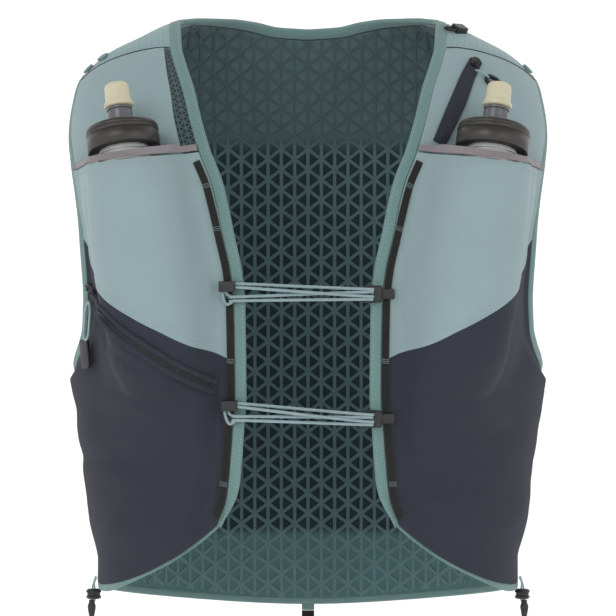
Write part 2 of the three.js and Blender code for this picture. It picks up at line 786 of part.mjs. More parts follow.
// The two fronts: mesh, chest panel, yoke, pockets and the pockets' mouths
function makeFront({ side, name }) {
  const meshGrid = frontGrid(0, MESH_COLUMNS, linesBetween(SEAM, HEM, 1, SEAM_GAP, 0));
  add(`front_mesh_${name}`, sheet(meshGrid, flat(0), flat(MESH_WALL), side), RIB_CLOTH);
  const stripShare = side === LEFT ? STRIP_SHARE : 0;
  const chestGrid = frontGrid(stripShare, CHEST_COLUMNS, linesBetween(SEAM, MOUTH + 2, 1, SEAM_GAP, 0));
  add(`chest_panel_${name}`, sheet(chestGrid, flat(PANEL_LOW), flat(PANEL_HIGH), side), LIGHT_CLOTH);
  const yokeGrid = [];
  for (const line of [SEAM - SEAM_GAP, SEAM / 2, 0]) {
    yokeGrid.push(steps(0, YOKE_COLUMNS).map((k) => frontPlace(k / YOKE_COLUMNS, line)));
  }
  for (const back of [0.5, 1 - SEAM_GAP]) {
    yokeGrid.push(steps(0, YOKE_COLUMNS).map((k) => yokePlace(k / YOKE_COLUMNS, back)));
  }
  add(`shoulder_yoke_${name}`, sheet(yokeGrid, flat(0), flat(YOKE_WALL), side), YOKE_CLOTH);
  const flaskGrid = pocketGrid(linesBetween(MOUTH, COLOUR));
  add(`flask_pocket_${name}`, sheet(flaskGrid, pocketLow, pocketHigh, side), LIGHT_CLOTH);
  const lowerGrid = pocketGrid(linesBetween(COLOUR, HEM, 1, SEAM_GAP, 0));
  add(`lower_pocket_${name}`, sheet(lowerGrid, pocketLow, pocketHigh, side), DARK_CLOTH);
  const mouthSpan = MOUTH_HEIGHT / (VEST_HEIGHT * (FRONT_LINES[3].opening - FRONT_LINES[2].opening)) * 2;
  const mouthGrid = pocketGrid([MOUTH - mouthSpan, MOUTH - mouthSpan / 2, MOUTH - SEAM_GAP]);
  const mouthLow = (...place) => pocketLow(...place) + MOUTH_EASE;
  const mouthHigh = (...place) => pocketHigh(...place) + MOUTH_EASE;
  add(`pocket_mouth_${name}`, sheet(mouthGrid, mouthLow, mouthHigh, side), MOUTH_TAPE);
}

/** The same place on the other side of the middle. */
function mirrored(place) {
  return { angle: 360 - place.angle, z: place.z };
}

/** One side of the edge from the front hem corner over the shoulder to the middle of the back. */
function openingChain() {
  const front = steps(0, HEM).map((line) => frontPlace(0, line)).reverse();
  const neck = steps(0, NECK_COLUMNS).map((column) => backTop(column)).reverse();
  return [...front, yokePlace(0, 0.5), ...neck];
}

// The tape along the two front edges and round the neck
function makeFrontBinding() {
  const right = openingChain();
  const left = right.slice(0, -1).map(mirrored).reverse();
  const section = tape(CLEARANCE, CLEARANCE + BINDING_WIDTH, 0, BINDING_THICKNESS);
  add("front_binding", ribbon(stationsOn([...right, ...left], 0), () => section), TAPE);
}

const ARMPIT = lineAt(frontRows, "armpit");
const BACK_ARMPIT = lineAt(backRows, "armpit");

// The tape round one armhole
function makeArmholeBinding({ side, name }) {
  const front = steps(0, ARMPIT).map((line) => frontPlace(1, line)).reverse();
  const yoke = [yokePlace(1, 0.5), yokePlace(1, 1)];
  const back = steps(1, BACK_ARMPIT - 1).map((line) => backPlace(1, line));
  const section = tape(-CLEARANCE - ARM_BINDING_WIDTH, -CLEARANCE, 0, BINDING_THICKNESS);
  const stations = stationsOn([...front, ...yoke, ...back], 0, side, true);
  add(`armhole_binding_${name}`, ribbon(stations, () => section, true), TAPE);
}

// The narrow tape along the whole hem
function makeHemBinding() {
  const front = steps(0, HEM_COLUMNS).map((k) => frontPlace(k / HEM_COLUMNS, HEM));
  const back = steps(1, BACK_COLUMNS).map((k) => backPlace(1 - k / BACK_COLUMNS, BACK_HEM));
  const right = [...front, ...back];
  const left = right.slice(0, -1).map(mirrored).reverse();
  const section = bar(-CLEARANCE - HEM_WIDTH, -CLEARANCE, 0, HEM_THICKNESS);
  add("hem_binding", ribbon(stationsOn([...right, ...left], 0), () => section), TAPE);
}

const RAIL_START = MOUTH + 0.3;
const RAIL_END = HEM - 0.6;

/** The place of the rail's middle on a line, beside the opening's edge. */
function railPlace(line) {
  return frontPlace((RAIL_INSET + RAIL_WIDTH / 2) / spanOf(line), line);
}

// The rail that the chest cords' sliders and hooks sit on
function makeRail({ side, name }) {
  const lines = steps(RAIL_START, RAIL_END);
  const places = lines.map(railPlace);
  const section = bar(-RAIL_WIDTH / 2, RAIL_WIDTH / 2, CLEARANCE, CLEARANCE + RAIL_THICKNESS);
  const stations = stationsOn(places, pocketHigh, side);
  add(`cord_rail_${name}`, ribbon(stations, () => section), RAIL_TAPE);
}

/** The place whose point, lifted by a layer's height, lies at a reach and a drop. */
function placeSeen(reach, drop, layer, side) {
  const x = reach * CHEST_HALF_WIDTH;
  const z = heightOf(drop);
  let angle = frontAngle(x, z);
  let low = z;
  for (let k = 0; k < 8; k += 1) {
    const lift = layer(angle, low, side);
    const here = offBody(angle, low, lift);
    const next = offBody(angle + 1, low, lift);
    angle += (x - here.x) / Math.max(0.3, next.x - here.x);
    low += z - here.z;
  }
  return { angle, z: low };
}

/** A frame on a layer: X to the right, Y up along the surface, Z away from it. */
function seatOn(place, layer, side, roll = 0) {
  const point = offBody(place.angle, place.z, layer(place.angle, place.z, side));
  const out = skinNormal(place, layer, side);
  const origin = new THREE.Vector3(point.x * side, point.y, point.z);
  const normal = new THREE.Vector3(out.x * side, out.y, out.z);
  const east = new THREE.Vector3(0, 0, 1).cross(normal).normalize();
  const north = new THREE.Vector3().crossVectors(normal, east);
  const group = new THREE.Group();
  const basis = new THREE.Matrix4().makeBasis(east, north, normal);
  group.quaternion.setFromRotationMatrix(basis);
  group.rotateZ(THREE.MathUtils.degToRad(roll));
  group.position.copy(origin);
  vest.add(group);
  group.updateMatrixWorld(true);
  return group;
}

/** A block with its low corner and size, in its own frame. */
function block(x, y, z, width, height, depth) {
  const box = new THREE.BoxGeometry(width, height, depth);
  return box.translate(x + width / 2, y + height / 2, z + depth / 2);
}

/** A flat plate with round corners, its back face at a height. */
function plate(width, height, thickness, radius, z) {
  const shape = new THREE.Shape();
  const x = width / 2 - radius;
  const y = height / 2 - radius;
  shape.absarc(x, y, radius, 0, Math.PI / 2);
  shape.absarc(-x, y, radius, Math.PI / 2, Math.PI);
  shape.absarc(-x, -y, radius, Math.PI, 1.5 * Math.PI);
  shape.absarc(x, -y, radius, 1.5 * Math.PI, 2 * Math.PI);
  const settings = { depth: thickness, bevelEnabled: false, curveSegments: 3 };
  return new THREE.ExtrudeGeometry(shape, settings).translate(0, 0, z);
}

const CORD_LEVEL = CLEARANCE + CORD_DIAMETER / 2 + 0.3;
const HOOK_LEVEL = CLEARANCE + HOOK_WALL + CORD_DIAMETER / 2;

// The two chest cords: where the slider and the hook sit on their rails
const CHEST_CORDS = [
  { name: "upper", slider: 0.455, hook: 0.469 },
  { name: "lower", slider: 0.647, hook: 0.6695 },
];

// One chest cord's route, as chosen. A point is measured from the slider's middle or from the
// hook's, to the right and up, with its height above the rail.
const CORD_ROUTE = [
  { from: "hook", right: -7, up: 3.5 },
  { from: "hook", right: -17.6, up: 3.5 },
  { from: "slider", right: 7, up: 1.1 },
  { from: "slider", right: 0, up: 1.0 },
  { from: "slider", right: -2.8, up: -1.6 },
  { from: "slider", right: -3.2, up: -7 },
  { from: "slider", right: -0.6, up: -12.6 },
  { from: "slider", right: 3, up: -11.4 },
  { from: "slider", right: 9, up: -10.3 },
  { from: "hook", right: -17.6, up: -3.5 },
  { from: "hook", right: -8.6, up: -3.5 },
  { from: "hook", right: -7.2, up: -2.35 },
  { from: "hook", right: -8.6, up: -1.2 },
  { from: "hook", right: -17.6, up: -1.2 },
  { from: "slider", right: 9, up: -7.6 },
  { from: "slider", right: 3, up: -7.5 },
  { from: "slider", right: -0.6, up: -5.6 },
  { from: "slider", right: -0.2, up: -2.4 },
  { from: "slider", right: 3, up: -1.3 },
  { from: "slider", right: 7, up: -1.3 },
  { from: "hook", right: -17.6, up: 1.25 },
  { from: "hook", right: -7, up: 1.25 },
];

/** The rail's outer face off the body. */
function railHigh(angle, z, side) {
  return pocketHigh(angle, z, side) + CLEARANCE + RAIL_THICKNESS;
}

/** The place on the rail at a drop. */
function railAt(drop) {
  let line = MOUTH;
  while (line < HEM && dropOf(railPlace(line).z) < drop) line += 0.05;
  return railPlace(line);
}

// One chest cord with its slider on the left rail and its hook on the right one
function makeChestCord({ name, slider, hook }) {
  const sliderSeat = seatOn(railAt(slider), railHigh, LEFT);
  const hookSeat = seatOn(railAt(hook), railHigh, RIGHT);
  const body = block(
    -SLIDER_WIDTH / 2,
    -SLIDER_HEIGHT / 2,
    CLEARANCE,
    SLIDER_WIDTH,
    SLIDER_HEIGHT,
    SLIDER_DEPTH,
  );
  const channel = block(
    -SLIDER_WIDTH / 2 + SLIDER_LIP,
    -SLIDER_HEIGHT,
    0,
    SLIDER_WIDTH,
    1.5 * SLIDER_HEIGHT - SLIDER_LIP,
    CORD_LEVEL + CORD_DIAMETER / 2 + CLEARANCE,
  );
  const sliderSolid = solidOf(body).subtract(solidOf(channel));
  add(`cord_slider_${name}`, geometryOf(sliderSolid), TRIM_PLASTIC, sliderSeat);

  const hookEnd = -RAIL_WIDTH / 2 - HOOK_REACH;
  const frame = block(
    hookEnd - HOOK_LENGTH,
    -HOOK_HEIGHT / 2,
    CLEARANCE,
    HOOK_LENGTH,
    HOOK_HEIGHT,
    HOOK_DEPTH + HOOK_RISE,
  );
  const slot = block(
    hookEnd - HOOK_LENGTH - 1,
    -HOOK_HEIGHT / 2 + HOOK_WALL,
    HOOK_WALL - CLEARANCE / 2,
    HOOK_LENGTH + 1 - HOOK_WALL,
    HOOK_HEIGHT - 2 * HOOK_WALL,
    CORD_DIAMETER + 4 * CLEARANCE,
  );
  const lipStart = RAIL_WIDTH / 2 + 3 * CLEARANCE;
  const clawLength = lipStart + HOOK_WALL - hookEnd + 1;
  const claw = block(hookEnd - 1, -CLAW_LENGTH / 2, CLEARANCE, clawLength, CLAW_LENGTH, HOOK_WALL);
  const lip = block(lipStart, -CLAW_LENGTH / 2, -RAIL_THICKNESS / 4, HOOK_WALL, CLAW_LENGTH, HOOK_WALL);
  const hookSolid = solidOf(frame).subtract(solidOf(slot)).add(solidOf(claw)).add(solidOf(lip));
  add(`hook_${name}`, geometryOf(hookSolid), TRIM_PLASTIC, hookSeat);

  const points = CORD_ROUTE.map((stop) => {
    if (stop.from === "slider") {
      return sliderSeat.localToWorld(new THREE.Vector3(stop.right, stop.up, CORD_LEVEL));
    }
    return hookSeat.localToWorld(new THREE.Vector3(stop.right - HOOK_REACH, stop.up, HOOK_LEVEL));
  });
  add(`chest_cord_${name}`, tube(points, CORD_DIAMETER, CHEST_CORD_STEPS), CORD);
}

/** The angle at a signed distance across the flask's middle line. */
function angleBeside(z, beside) {
  const middle = flaskAngle(z);
  const home = bodyPoint(middle, z);
  const perDegree = bodyPoint(middle + 1, z).distanceTo(home);
  let angle = middle + beside / perDegree;
  for (let k = 0; k < 4 && Math.abs(beside) > 1; k += 1) {
    angle = middle + ((angle - middle) * Math.abs(beside)) / bodyPoint(angle, z).distanceTo(home);
  }
  return angle;
}

/** The flask's closed form, moved in by a wall. */
function flaskForm(inset) {
  const corners = [];
  const margin = inset / FLASK_LENGTH;
  for (const station of FLASK_STATIONS) {
    const along = Math.min(1 - margin, Math.max(margin, station));
    const z = FLASK_SHOULDER - along * FLASK_LENGTH;
    const width = FLASK_HALF_WIDTH * flaskWidth(along) - inset;
    for (let k = 0; k <= FLASK_ARC_STEPS; k += 1) {
      const beside = width * Math.cos((Math.PI * k) / FLASK_ARC_STEPS);
      const share = Math.min(1, Math.abs(beside) / width);
      const roof = (1 - share ** FLASK_EDGE_POWER) ** FLASK_ROOF_POWER;
      const swell = (FLASK_DEPTH * flaskDepth(along) - 2 * inset) * roof;
      corners.push(offBody(angleBeside(z, beside), z, FLASK_SEAT + inset + Math.max(0, swell)));
    }
    for (let k = 1; k < FLASK_BACK_STEPS; k += 1) {
      const beside = -width + (2 * width * k) / FLASK_BACK_STEPS;
      corners.push(offBody(angleBeside(z, beside), z, FLASK_SEAT + inset));
    }
  }
  const ring = FLASK_ARC_STEPS + FLASK_BACK_STEPS;
  const triangles = [];
  for (let i = 0; i < FLASK_STATIONS.length - 1; i += 1) {
    for (let k = 0; k < ring; k += 1) {
      const next = (k + 1) % ring;
      const low = (i + 1) * ring;
      triangles.push([i * ring + k, low + k, low + next], [i * ring + k, low + next, i * ring + next]);
    }
  }
  for (const start of [0, (FLASK_STATIONS.length - 1) * ring]) {
    const middle = corners.slice(start, start + ring);
    const centre = middle.reduce((sum, corner) => sum.add(corner), new THREE.Vector3());
    corners.push(centre.divideScalar(ring));
    for (let k = 0; k < ring; k += 1) {
      const pair = [start + k, start + ((k + 1) % ring)];
      triangles.push(start === 0 ? [corners.length - 1, ...pair] : [corners.length - 1, pair[1], pair[0]]);
    }
  }
  return closedBody(corners, triangles);
}

/** A round piece about +Z from its outline of distances and heights. */
function turned(outline) {
  const points = outline.map(([radius, height]) => new THREE.Vector2(radius, height));
  return new THREE.LatheGeometry(points, ROUND_SIDES).rotateX(Math.PI / 2);
}

// One soft flask with its screw lid: cap, collar and bite valve on the lid's own axis
function makeFlask({ side, name }) {
  const lidLift = FLASK_BACK + CAP_RADIUS + CLEARANCE;
  const lidOrigin = offBody(flaskAngle(FLASK_SHOULDER), FLASK_SHOULDER, lidLift);
  const out = Math.tan(THREE.MathUtils.degToRad(LID_LEAN_OUT));
  const back = Math.tan(THREE.MathUtils.degToRad(LID_LEAN_BACK));
  const axis = new THREE.Vector3(out, back, 1).normalize();
  const up = new THREE.Vector3(0, 0, 1);
  const turn = new THREE.Quaternion().setFromUnitVectors(up, axis);
  const frame = new THREE.Matrix4().compose(lidOrigin, turn, new THREE.Vector3(1, 1, 1));
  const cylinder = (radius, low, high) =>
    turned([
      [0, low],
      [radius, low],
      [radius, high],
      [0, high],
    ]).applyMatrix4(frame);
  const outer = solidOf(flaskForm(0)).add(solidOf(cylinder(NECK_RADIUS, -NECK_ROOT, NECK_HEIGHT)));
  const bore = cylinder(NECK_RADIUS - FLASK_WALL, -NECK_ROOT - 2, NECK_HEIGHT + 1);
  const hollow = solidOf(flaskForm(FLASK_WALL)).add(solidOf(bore));
  const flask = geometryOf(outer.subtract(hollow));
  add(`flask_body_${name}`, side === RIGHT ? flask : mirroredGeometry(flask), FLASK_FILM);

  const lid = new THREE.Group();
  lid.position.set(lidOrigin.x * side, lidOrigin.y, lidOrigin.z);
  lid.quaternion.setFromUnitVectors(up, new THREE.Vector3(axis.x * side, axis.y, axis.z));
  vest.add(lid);
  const low = LID_RISE;
  const inside = NECK_RADIUS + LID_CLEARANCE;
  const ceiling = NECK_HEIGHT + CLEARANCE * 2;
  const shoulder = low + CAP_HEIGHT - CAP_TOP;
  const cap = [
    [0, ceiling],
    [inside, ceiling],
    [inside, low],
    [CAP_RADIUS, low],
    [CAP_RADIUS, low + CAP_HEIGHT * 0.55],
    [CAP_RADIUS - 0.9, low + CAP_HEIGHT * 0.58],
    [CAP_RADIUS, low + CAP_HEIGHT * 0.62],
    [CAP_RADIUS - 0.4, low + CAP_HEIGHT * 0.76],
    [CAP_RADIUS - 3, shoulder],
    [COLLAR_RADIUS, low + CAP_HEIGHT],
    [0, low + CAP_HEIGHT],
  ];
  add(`flask_cap_${name}`, turned(cap), CAP_PLASTIC, lid);
  const collarLow = low + CAP_HEIGHT + CLEARANCE;
  const collarHigh = collarLow + COLLAR_HEIGHT;
  const collar = [
    [0, collarLow],
    [COLLAR_RADIUS, collarLow],
    [COLLAR_RADIUS, collarHigh],
    [0, collarHigh],
  ];
  add(`valve_collar_${name}`, turned(collar), COLLAR_PLASTIC, lid);
  const valveLow = collarHigh + CLEARANCE;
  const valve = [
    [0, valveLow],
    [VALVE_RADIUS * 0.96, valveLow],
    [VALVE_RADIUS, valveLow + VALVE_HEIGHT * 0.1],
    [VALVE_RADIUS * 0.96, valveLow + VALVE_HEIGHT * 0.2],
    [VALVE_RADIUS * 0.86, valveLow + VALVE_HEIGHT * 0.32],
    [VALVE_RADIUS * 0.84, valveLow + VALVE_HEIGHT * 0.86],
    [VALVE_RADIUS * 0.6, valveLow + VALVE_HEIGHT],
    [0, valveLow + VALVE_HEIGHT],
  ];
  add(`bite_valve_${name}`, turned(valve), VALVE_RUBBER, lid);
}

// The left pocket's zip, by reach and drop, from its slider down to the opening
const POCKET_ZIP = [
  { reach: 0.87, drop: 0.463 },
  { reach: 0.81, drop: 0.503 },
  { reach: 0.734, drop: 0.5345 },
  { reach: 0.649, drop: 0.558 },
  { reach: 0.53, drop: 0.589 },
  { reach: 0.43, drop: 0.61 },
  { reach: 0.375, drop: 0.619 },
];

// The right shoulder's zip flap from the yoke's seam down to the pocket's mouth
const SHOULDER_ZIP = [
  { reach: 0.685, drop: 0.083, width: 1 },
  { reach: 0.648, drop: 0.112, width: 1 },
  { reach: 0.605, drop: 0.154, width: 0.95 },
  { reach: 0.576, drop: 0.185, width: 0.85 },
  { reach: 0.541, drop: 0.212, width: 0.55 },
];

/** A smooth row of points through chosen ones. */
function smoothRow(rows, column, count) {
  const read = curve(rows.map((row, i) => ({ at: i, value: row[column] })), "at", "value");
  return steps(0, count).map((k) => read((k / count) * (rows.length - 1)));
}

/** Places on a layer along a table of reaches and drops. */
function placesAlong(rows, layer, side, count) {
  const reach = smoothRow(rows, "reach", count);
  const drop = smoothRow(rows, "drop", count);
  return reach.map((share, i) => placeSeen(share, drop[i], layer, side));
}

/** The place so far out and up from a point, as seen from the front. */
function placeBeside(from, { out, up }, layer, side) {
  return placeSeen((Math.abs(from.x) + out) / CHEST_HALF_WIDTH, dropOf(from.z + up), layer, side);
}

/** A cord along chosen points beside a slider, lifted off a layer. */
function cordOn(rows, from, layer, side, diameter, stepCount, closed = false) {
  const lift = CLEARANCE + diameter / 2;
  const points = rows.map((row) => {
    const high = (...at) => layer(...at) + lift + row.lift;
    const place = placeBeside(from, row, high, side);
    const point = offBody(place.angle, place.z, high(place.angle, place.z, side));
    return new THREE.Vector3(point.x * side, point.y, point.z);
  });
  return tube(points, diameter, stepCount, closed);
}

/** A closed tape ring, cut from a plate: the frame of a pull or a loop. */
function eyelet(width, height, thickness, rim, z) {
  const radius = Math.min(width, height) / 2;
  const outer = solidOf(plate(width, height, thickness, radius * 0.98, z));
  const inner = plate(width - 2 * rim, height - 2 * rim, thickness + 2, (radius - rim) * 0.98, z - 1);
  return geometryOf(outer.subtract(solidOf(inner)));
}

/** A zip slider so far past the start of a zip, turned the way the zip runs. */
function zipSlider([first, second], past, layer, side, name) {
  const seatAt = (place) => offBody(place.angle, place.z, layer(place.angle, place.z, side));
  const share = past / seatAt(first).distanceTo(seatAt(second));
  const place = { angle: mix(first.angle, second.angle, -share), z: mix(first.z, second.z, -share) };
  const group = seatOn(place, layer, side);
  const way = seatAt(place).sub(seatAt(second));
  way.x *= side;
  way.applyQuaternion(group.quaternion.clone().invert());
  group.rotateZ(Math.atan2(-way.x, way.y));
  group.updateMatrixWorld(true);
  const thickness = ZIP_SLIDER_HEIGHT * 0.6;
  const body = plate(ZIP_SLIDER_WIDTH, ZIP_SLIDER_LENGTH, thickness, ZIP_SLIDER_CORNER, CLEARANCE);
  const bridge = block(
    -ZIP_SLIDER_WIDTH * 0.2,
    -ZIP_SLIDER_LENGTH * 0.35,
    CLEARANCE,
    ZIP_SLIDER_WIDTH * 0.4,
    ZIP_SLIDER_LENGTH * 0.7,
    ZIP_SLIDER_HEIGHT,
  );
  add(name, geometryOf(solidOf(body).add(solidOf(bridge))), TRIM_PLASTIC, group);
  return group.position;
}

/** The outer face of the chest panel. */
const panelHigh = () => PANEL_HIGH;
const coilLow = (...place) => pocketHigh(...place) + COIL_REST;
const coilHigh = (...place) => pocketHigh(...place) + COIL_REST + COIL_THICKNESS;
const flapHigh = () => PANEL_HIGH + CLEARANCE + FLAP_THICKNESS;

// The left pocket's pull: its cord's loop, as chosen, from the slider down to the tab.
// Each point lies so far out and up from the slider's middle, and so high off the zip.
const POCKET_PULL_CORD = [
  { out: 0.2, up: -9.6, lift: 0.1 },
  { out: 3.2, up: -15, lift: 1.4 },
  { out: 4, up: -24, lift: 0.8 },
  { out: 4, up: -33, lift: 2.4 },
  { out: 2.4, up: -36, lift: 3.4 },
  { out: 0.8, up: -33, lift: 2.4 },
  { out: 0, up: -24, lift: 0.8 },
  { out: -1, up: -15, lift: 1.4 },
];
const POCKET_TAB = { out: 2.2, up: -44.8 };

// The right shoulder's pull: its thin cord, as chosen, from the slider to the ring
const SHOULDER_PULL_CORD = [
  { out: 0, up: -5.5, lift: 3.4 },
  { out: 4, up: -6, lift: 1.6 },
  { out: 7, up: -8, lift: 1.2 },
  { out: 9.4, up: -10.4, lift: 1.2 },
];
const SHOULDER_RING = { out: 11.6, up: -13.4 };

// The zip in the left lower pocket, with its slider, cord and tab
function makePocketZip() {
  const places = placesAlong(POCKET_ZIP, pocketHigh, LEFT, 20);
  const section = bar(-COIL_WIDTH / 2, COIL_WIDTH / 2, COIL_REST, COIL_REST + COIL_THICKNESS);
  add("pocket_zip", ribbon(stationsOn(places, pocketHigh, LEFT), () => section), TRIM_PLASTIC);
  const past = ZIP_SLIDER_LENGTH / 2 + ZIP_SLIDER_GAP;
  const top = zipSlider(places, past, coilLow, LEFT, "pocket_zip_slider");
  const loop = cordOn(POCKET_PULL_CORD, top, coilHigh, LEFT, PULL_CORD_DIAMETER, 20, true);
  add("pocket_zip_cord", loop, CORD);
  const tab = plate(PULL_TAB_WIDTH, PULL_TAB_LENGTH, PULL_TAB_THICKNESS, PULL_TAB_CORNER, CLEARANCE);
  const tabPlace = placeBeside(top, POCKET_TAB, coilHigh, LEFT);
  const seat = seatOn(tabPlace, coilHigh, LEFT, PULL_TAB_ROLL);
  add("pocket_zip_tab", tab, TRIM_PLASTIC, seat);
}

// The dark zip flap on the right shoulder
function makeShoulderZip() {
  const count = 10;
  const places = placesAlong(SHOULDER_ZIP, panelHigh, RIGHT, count);
  const widths = smoothRow(SHOULDER_ZIP, "width", count);
  const section = (share) => {
    const half = (FLAP_WIDTH / 2) * widths[Math.round(share * count)];
    return bar(-half, half, CLEARANCE, CLEARANCE + FLAP_THICKNESS);
  };
  add("shoulder_zip", ribbon(stationsOn(places, panelHigh, RIGHT), section), DARK_CLOTH);
  const top = zipSlider(places, -ZIP_SLIDER_LENGTH / 2, flapHigh, RIGHT, "shoulder_zip_slider");
  add("shoulder_zip_cord", cordOn(SHOULDER_PULL_CORD, top, flapHigh, RIGHT, THIN_CORD, 10), CORD);
  const ring = placeBeside(top, SHOULDER_RING, panelHigh, RIGHT);
  const ringSeat = seatOn(ring, panelHigh, RIGHT, RING_ROLL);
  const rim = eyelet(RING_LENGTH, RING_HEIGHT, RING_THICKNESS, RING_RIM, CLEARANCE);
  add("shoulder_zip_ring", rim, TRIM_PLASTIC, ringSeat);
}

const yokeHigh = () => YOKE_WALL;

// The small tabs that stand on the shoulders, by side, share across and line
const SHOULDER_TABS = [
  { name: "left_outer", side: LEFT, across: 0.9, line: 0.9, roll: 15 },
  { name: "left_inner", side: LEFT, across: 0.7, line: 0.8, roll: 12 },
  { name: "right", side: RIGHT, across: 0.9, line: 0.9, roll: -15 },
];

function makeShoulderTab({ name, side, across, line, roll }) {
  const seat = seatOn(frontPlace(across, line), yokeHigh, side, roll);
  const tab = plate(TAB_WIDTH, TAB_HEIGHT, TAB_THICKNESS, TAB_CORNER, CLEARANCE);
  add(`shoulder_tab_${name}`, tab, TAPE, seat);
}

// The pole loop and its lock, on the right shoulder beside the neck
function makePoleLoop() {
  const seat = seatOn(frontPlace(0.12, 0.4), () => YOKE_WALL - POLE_SINK, RIGHT);
  const depth = POLE_CORD + 2 * CLEARANCE;
  const body = block(-LOCK_WIDTH / 2, -LOCK_HEIGHT / 2, CLEARANCE, LOCK_WIDTH, LOCK_HEIGHT, LOCK_DEPTH);
  const half = POLE_CORD * 0.8;
  const hole = block(-LOCK_WIDTH, -2 * half, POLE_LEVEL - depth / 2, 2 * LOCK_WIDTH, 4 * half, depth);
  add("pole_loop_lock", geometryOf(solidOf(body).subtract(solidOf(hole))), TRIM_PLASTIC, seat);
  const points = [
    [LOCK_WIDTH * 0.8, 0],
    [LOCK_WIDTH * 0.5, half],
    [-LOCK_WIDTH * 0.5, half],
    [-LOCK_WIDTH * 1.1, half * 1.8],
    [-LOCK_WIDTH * 1.45, 0],
    [-LOCK_WIDTH * 1.1, -half * 1.8],
    [-LOCK_WIDTH * 0.5, -half],
    [LOCK_WIDTH * 0.5, -half],
  ].map(([x, y]) => new THREE.Vector3(x, y, POLE_LEVEL));
  add("pole_loop", tube(points, POLE_CORD, 18, true), RAIL_TAPE, seat);
}

// The hem's cord end at one front corner: its cord, lock and pull, turned towards the front
function makeHemCord({ side, name }) {
  const seat = seatOn(frontPlace(HEM_CORD_ACROSS, HEM), pocketHigh, side);
  const level = LOCK_DEPTH / 2 + CLEARANCE;
  const lockTop = -HEM_WIDTH - 2 * CLEARANCE;
  const hang = new THREE.Group();
  hang.position.set(0, lockTop, level);
  hang.rotation.y = THREE.MathUtils.degToRad(-side * HEM_CORD_TURN);
  seat.add(hang);
  hang.updateMatrixWorld(true);
  const body = block(-LOCK_WIDTH / 2, -LOCK_HEIGHT, -LOCK_DEPTH / 2, LOCK_WIDTH, LOCK_HEIGHT, LOCK_DEPTH);
  const gap = THIN_CORD * 3 + 4 * CLEARANCE;
  const depth = THIN_CORD + 2 * CLEARANCE;
  const hole = block(-gap / 2, -2 * LOCK_HEIGHT, -depth / 2, gap, 3 * LOCK_HEIGHT, depth);
  add(`hem_lock_${name}`, geometryOf(solidOf(body).subtract(solidOf(hole))), TRIM_PLASTIC, hang);
  const rest = CLEARANCE * 2 + THIN_CORD / 2;
  const sewn = (sign) => [
    seat.localToWorld(new THREE.Vector3(sign * 4, 4, rest)),
    seat.localToWorld(new THREE.Vector3(sign * 2.6, -1, level)),
  ];
  const inside = [
    [-THIN_CORD, 0],
    [-THIN_CORD, -LOCK_HEIGHT - 1],
    [0, -LOCK_HEIGHT - 3.4],
    [THIN_CORD, -LOCK_HEIGHT - 1],
    [THIN_CORD, 0],
  ].map(([x, y]) => hang.localToWorld(new THREE.Vector3(x, y, 0)));
  const points = [...sewn(-1), ...inside, ...sewn(1).reverse()];
  add(`hem_cord_${name}`, tube(points, THIN_CORD, 14), CORD);
  const pull = plate(HEM_PULL_WIDTH, HEM_PULL_LENGTH, HEM_PULL_THICKNESS, HEM_PULL_CORNER, 0);
  pull.translate(0, -LOCK_HEIGHT - HEM_PULL_LENGTH / 2 - CLEARANCE, THIN_CORD / 2 + CLEARANCE);
  add(`hem_pull_${name}`, pull, TRIM_PLASTIC, hang);
}

// The loop and tab at the middle of the back's hem
function makeHemTab() {
  const seat = seatOn(backPlace(0, BACK_HEM), () => 0, RIGHT);
  const loopTop = -HEM_WIDTH - 2 * CLEARANCE;
  const left = -HEM_TAB_WIDTH / 2;
  const loop = block(left, loopTop - HEM_LOOP_LENGTH, 0, HEM_TAB_WIDTH, HEM_LOOP_LENGTH, HEM_THICKNESS);
  add("hem_loop", loop, TAPE, seat);
  const tabTop = loopTop - HEM_LOOP_LENGTH - CLEARANCE;
  const tab = block(left, tabTop - HEM_TAB_LENGTH, 0, HEM_TAB_WIDTH, HEM_TAB_LENGTH, HEM_THICKNESS);
  add("hem_tab", tab, RAIL_TAPE, seat);
}

/** A geometry mirrored left to right, its faces still pointing out. */
function mirroredGeometry(geometry) {
  const copy = geometry.clone().scale(-1, 1, 1);
  const index = copy.index.array;
  for (let i = 0; i < index.length; i += 3) {
    const first = index[i];
    index[i] = index[i + 1];
    index[i + 1] = first;
  }
  return copy;
}

makeBack();
SIDES.forEach(makeFront);
makeFrontBinding();
SIDES.forEach(makeArmholeBinding);
makeHemBinding();
SIDES.forEach(makeRail);
CHEST_CORDS.forEach(makeChestCord);
SIDES.forEach(makeFlask);
makePocketZip();
makeShoulderZip();
SHOULDER_TABS.forEach(makeShoulderTab);
makePoleLoop();
SIDES.forEach(makeHemCord);
makeHemTab();

export default vest;
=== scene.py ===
"""Running hydration vest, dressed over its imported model: cloth, tapes, cords, flasks and trim."""

import logging
import math
from dataclasses import dataclass, field
from enum import Enum
from typing import Callable, Iterable, Sequence

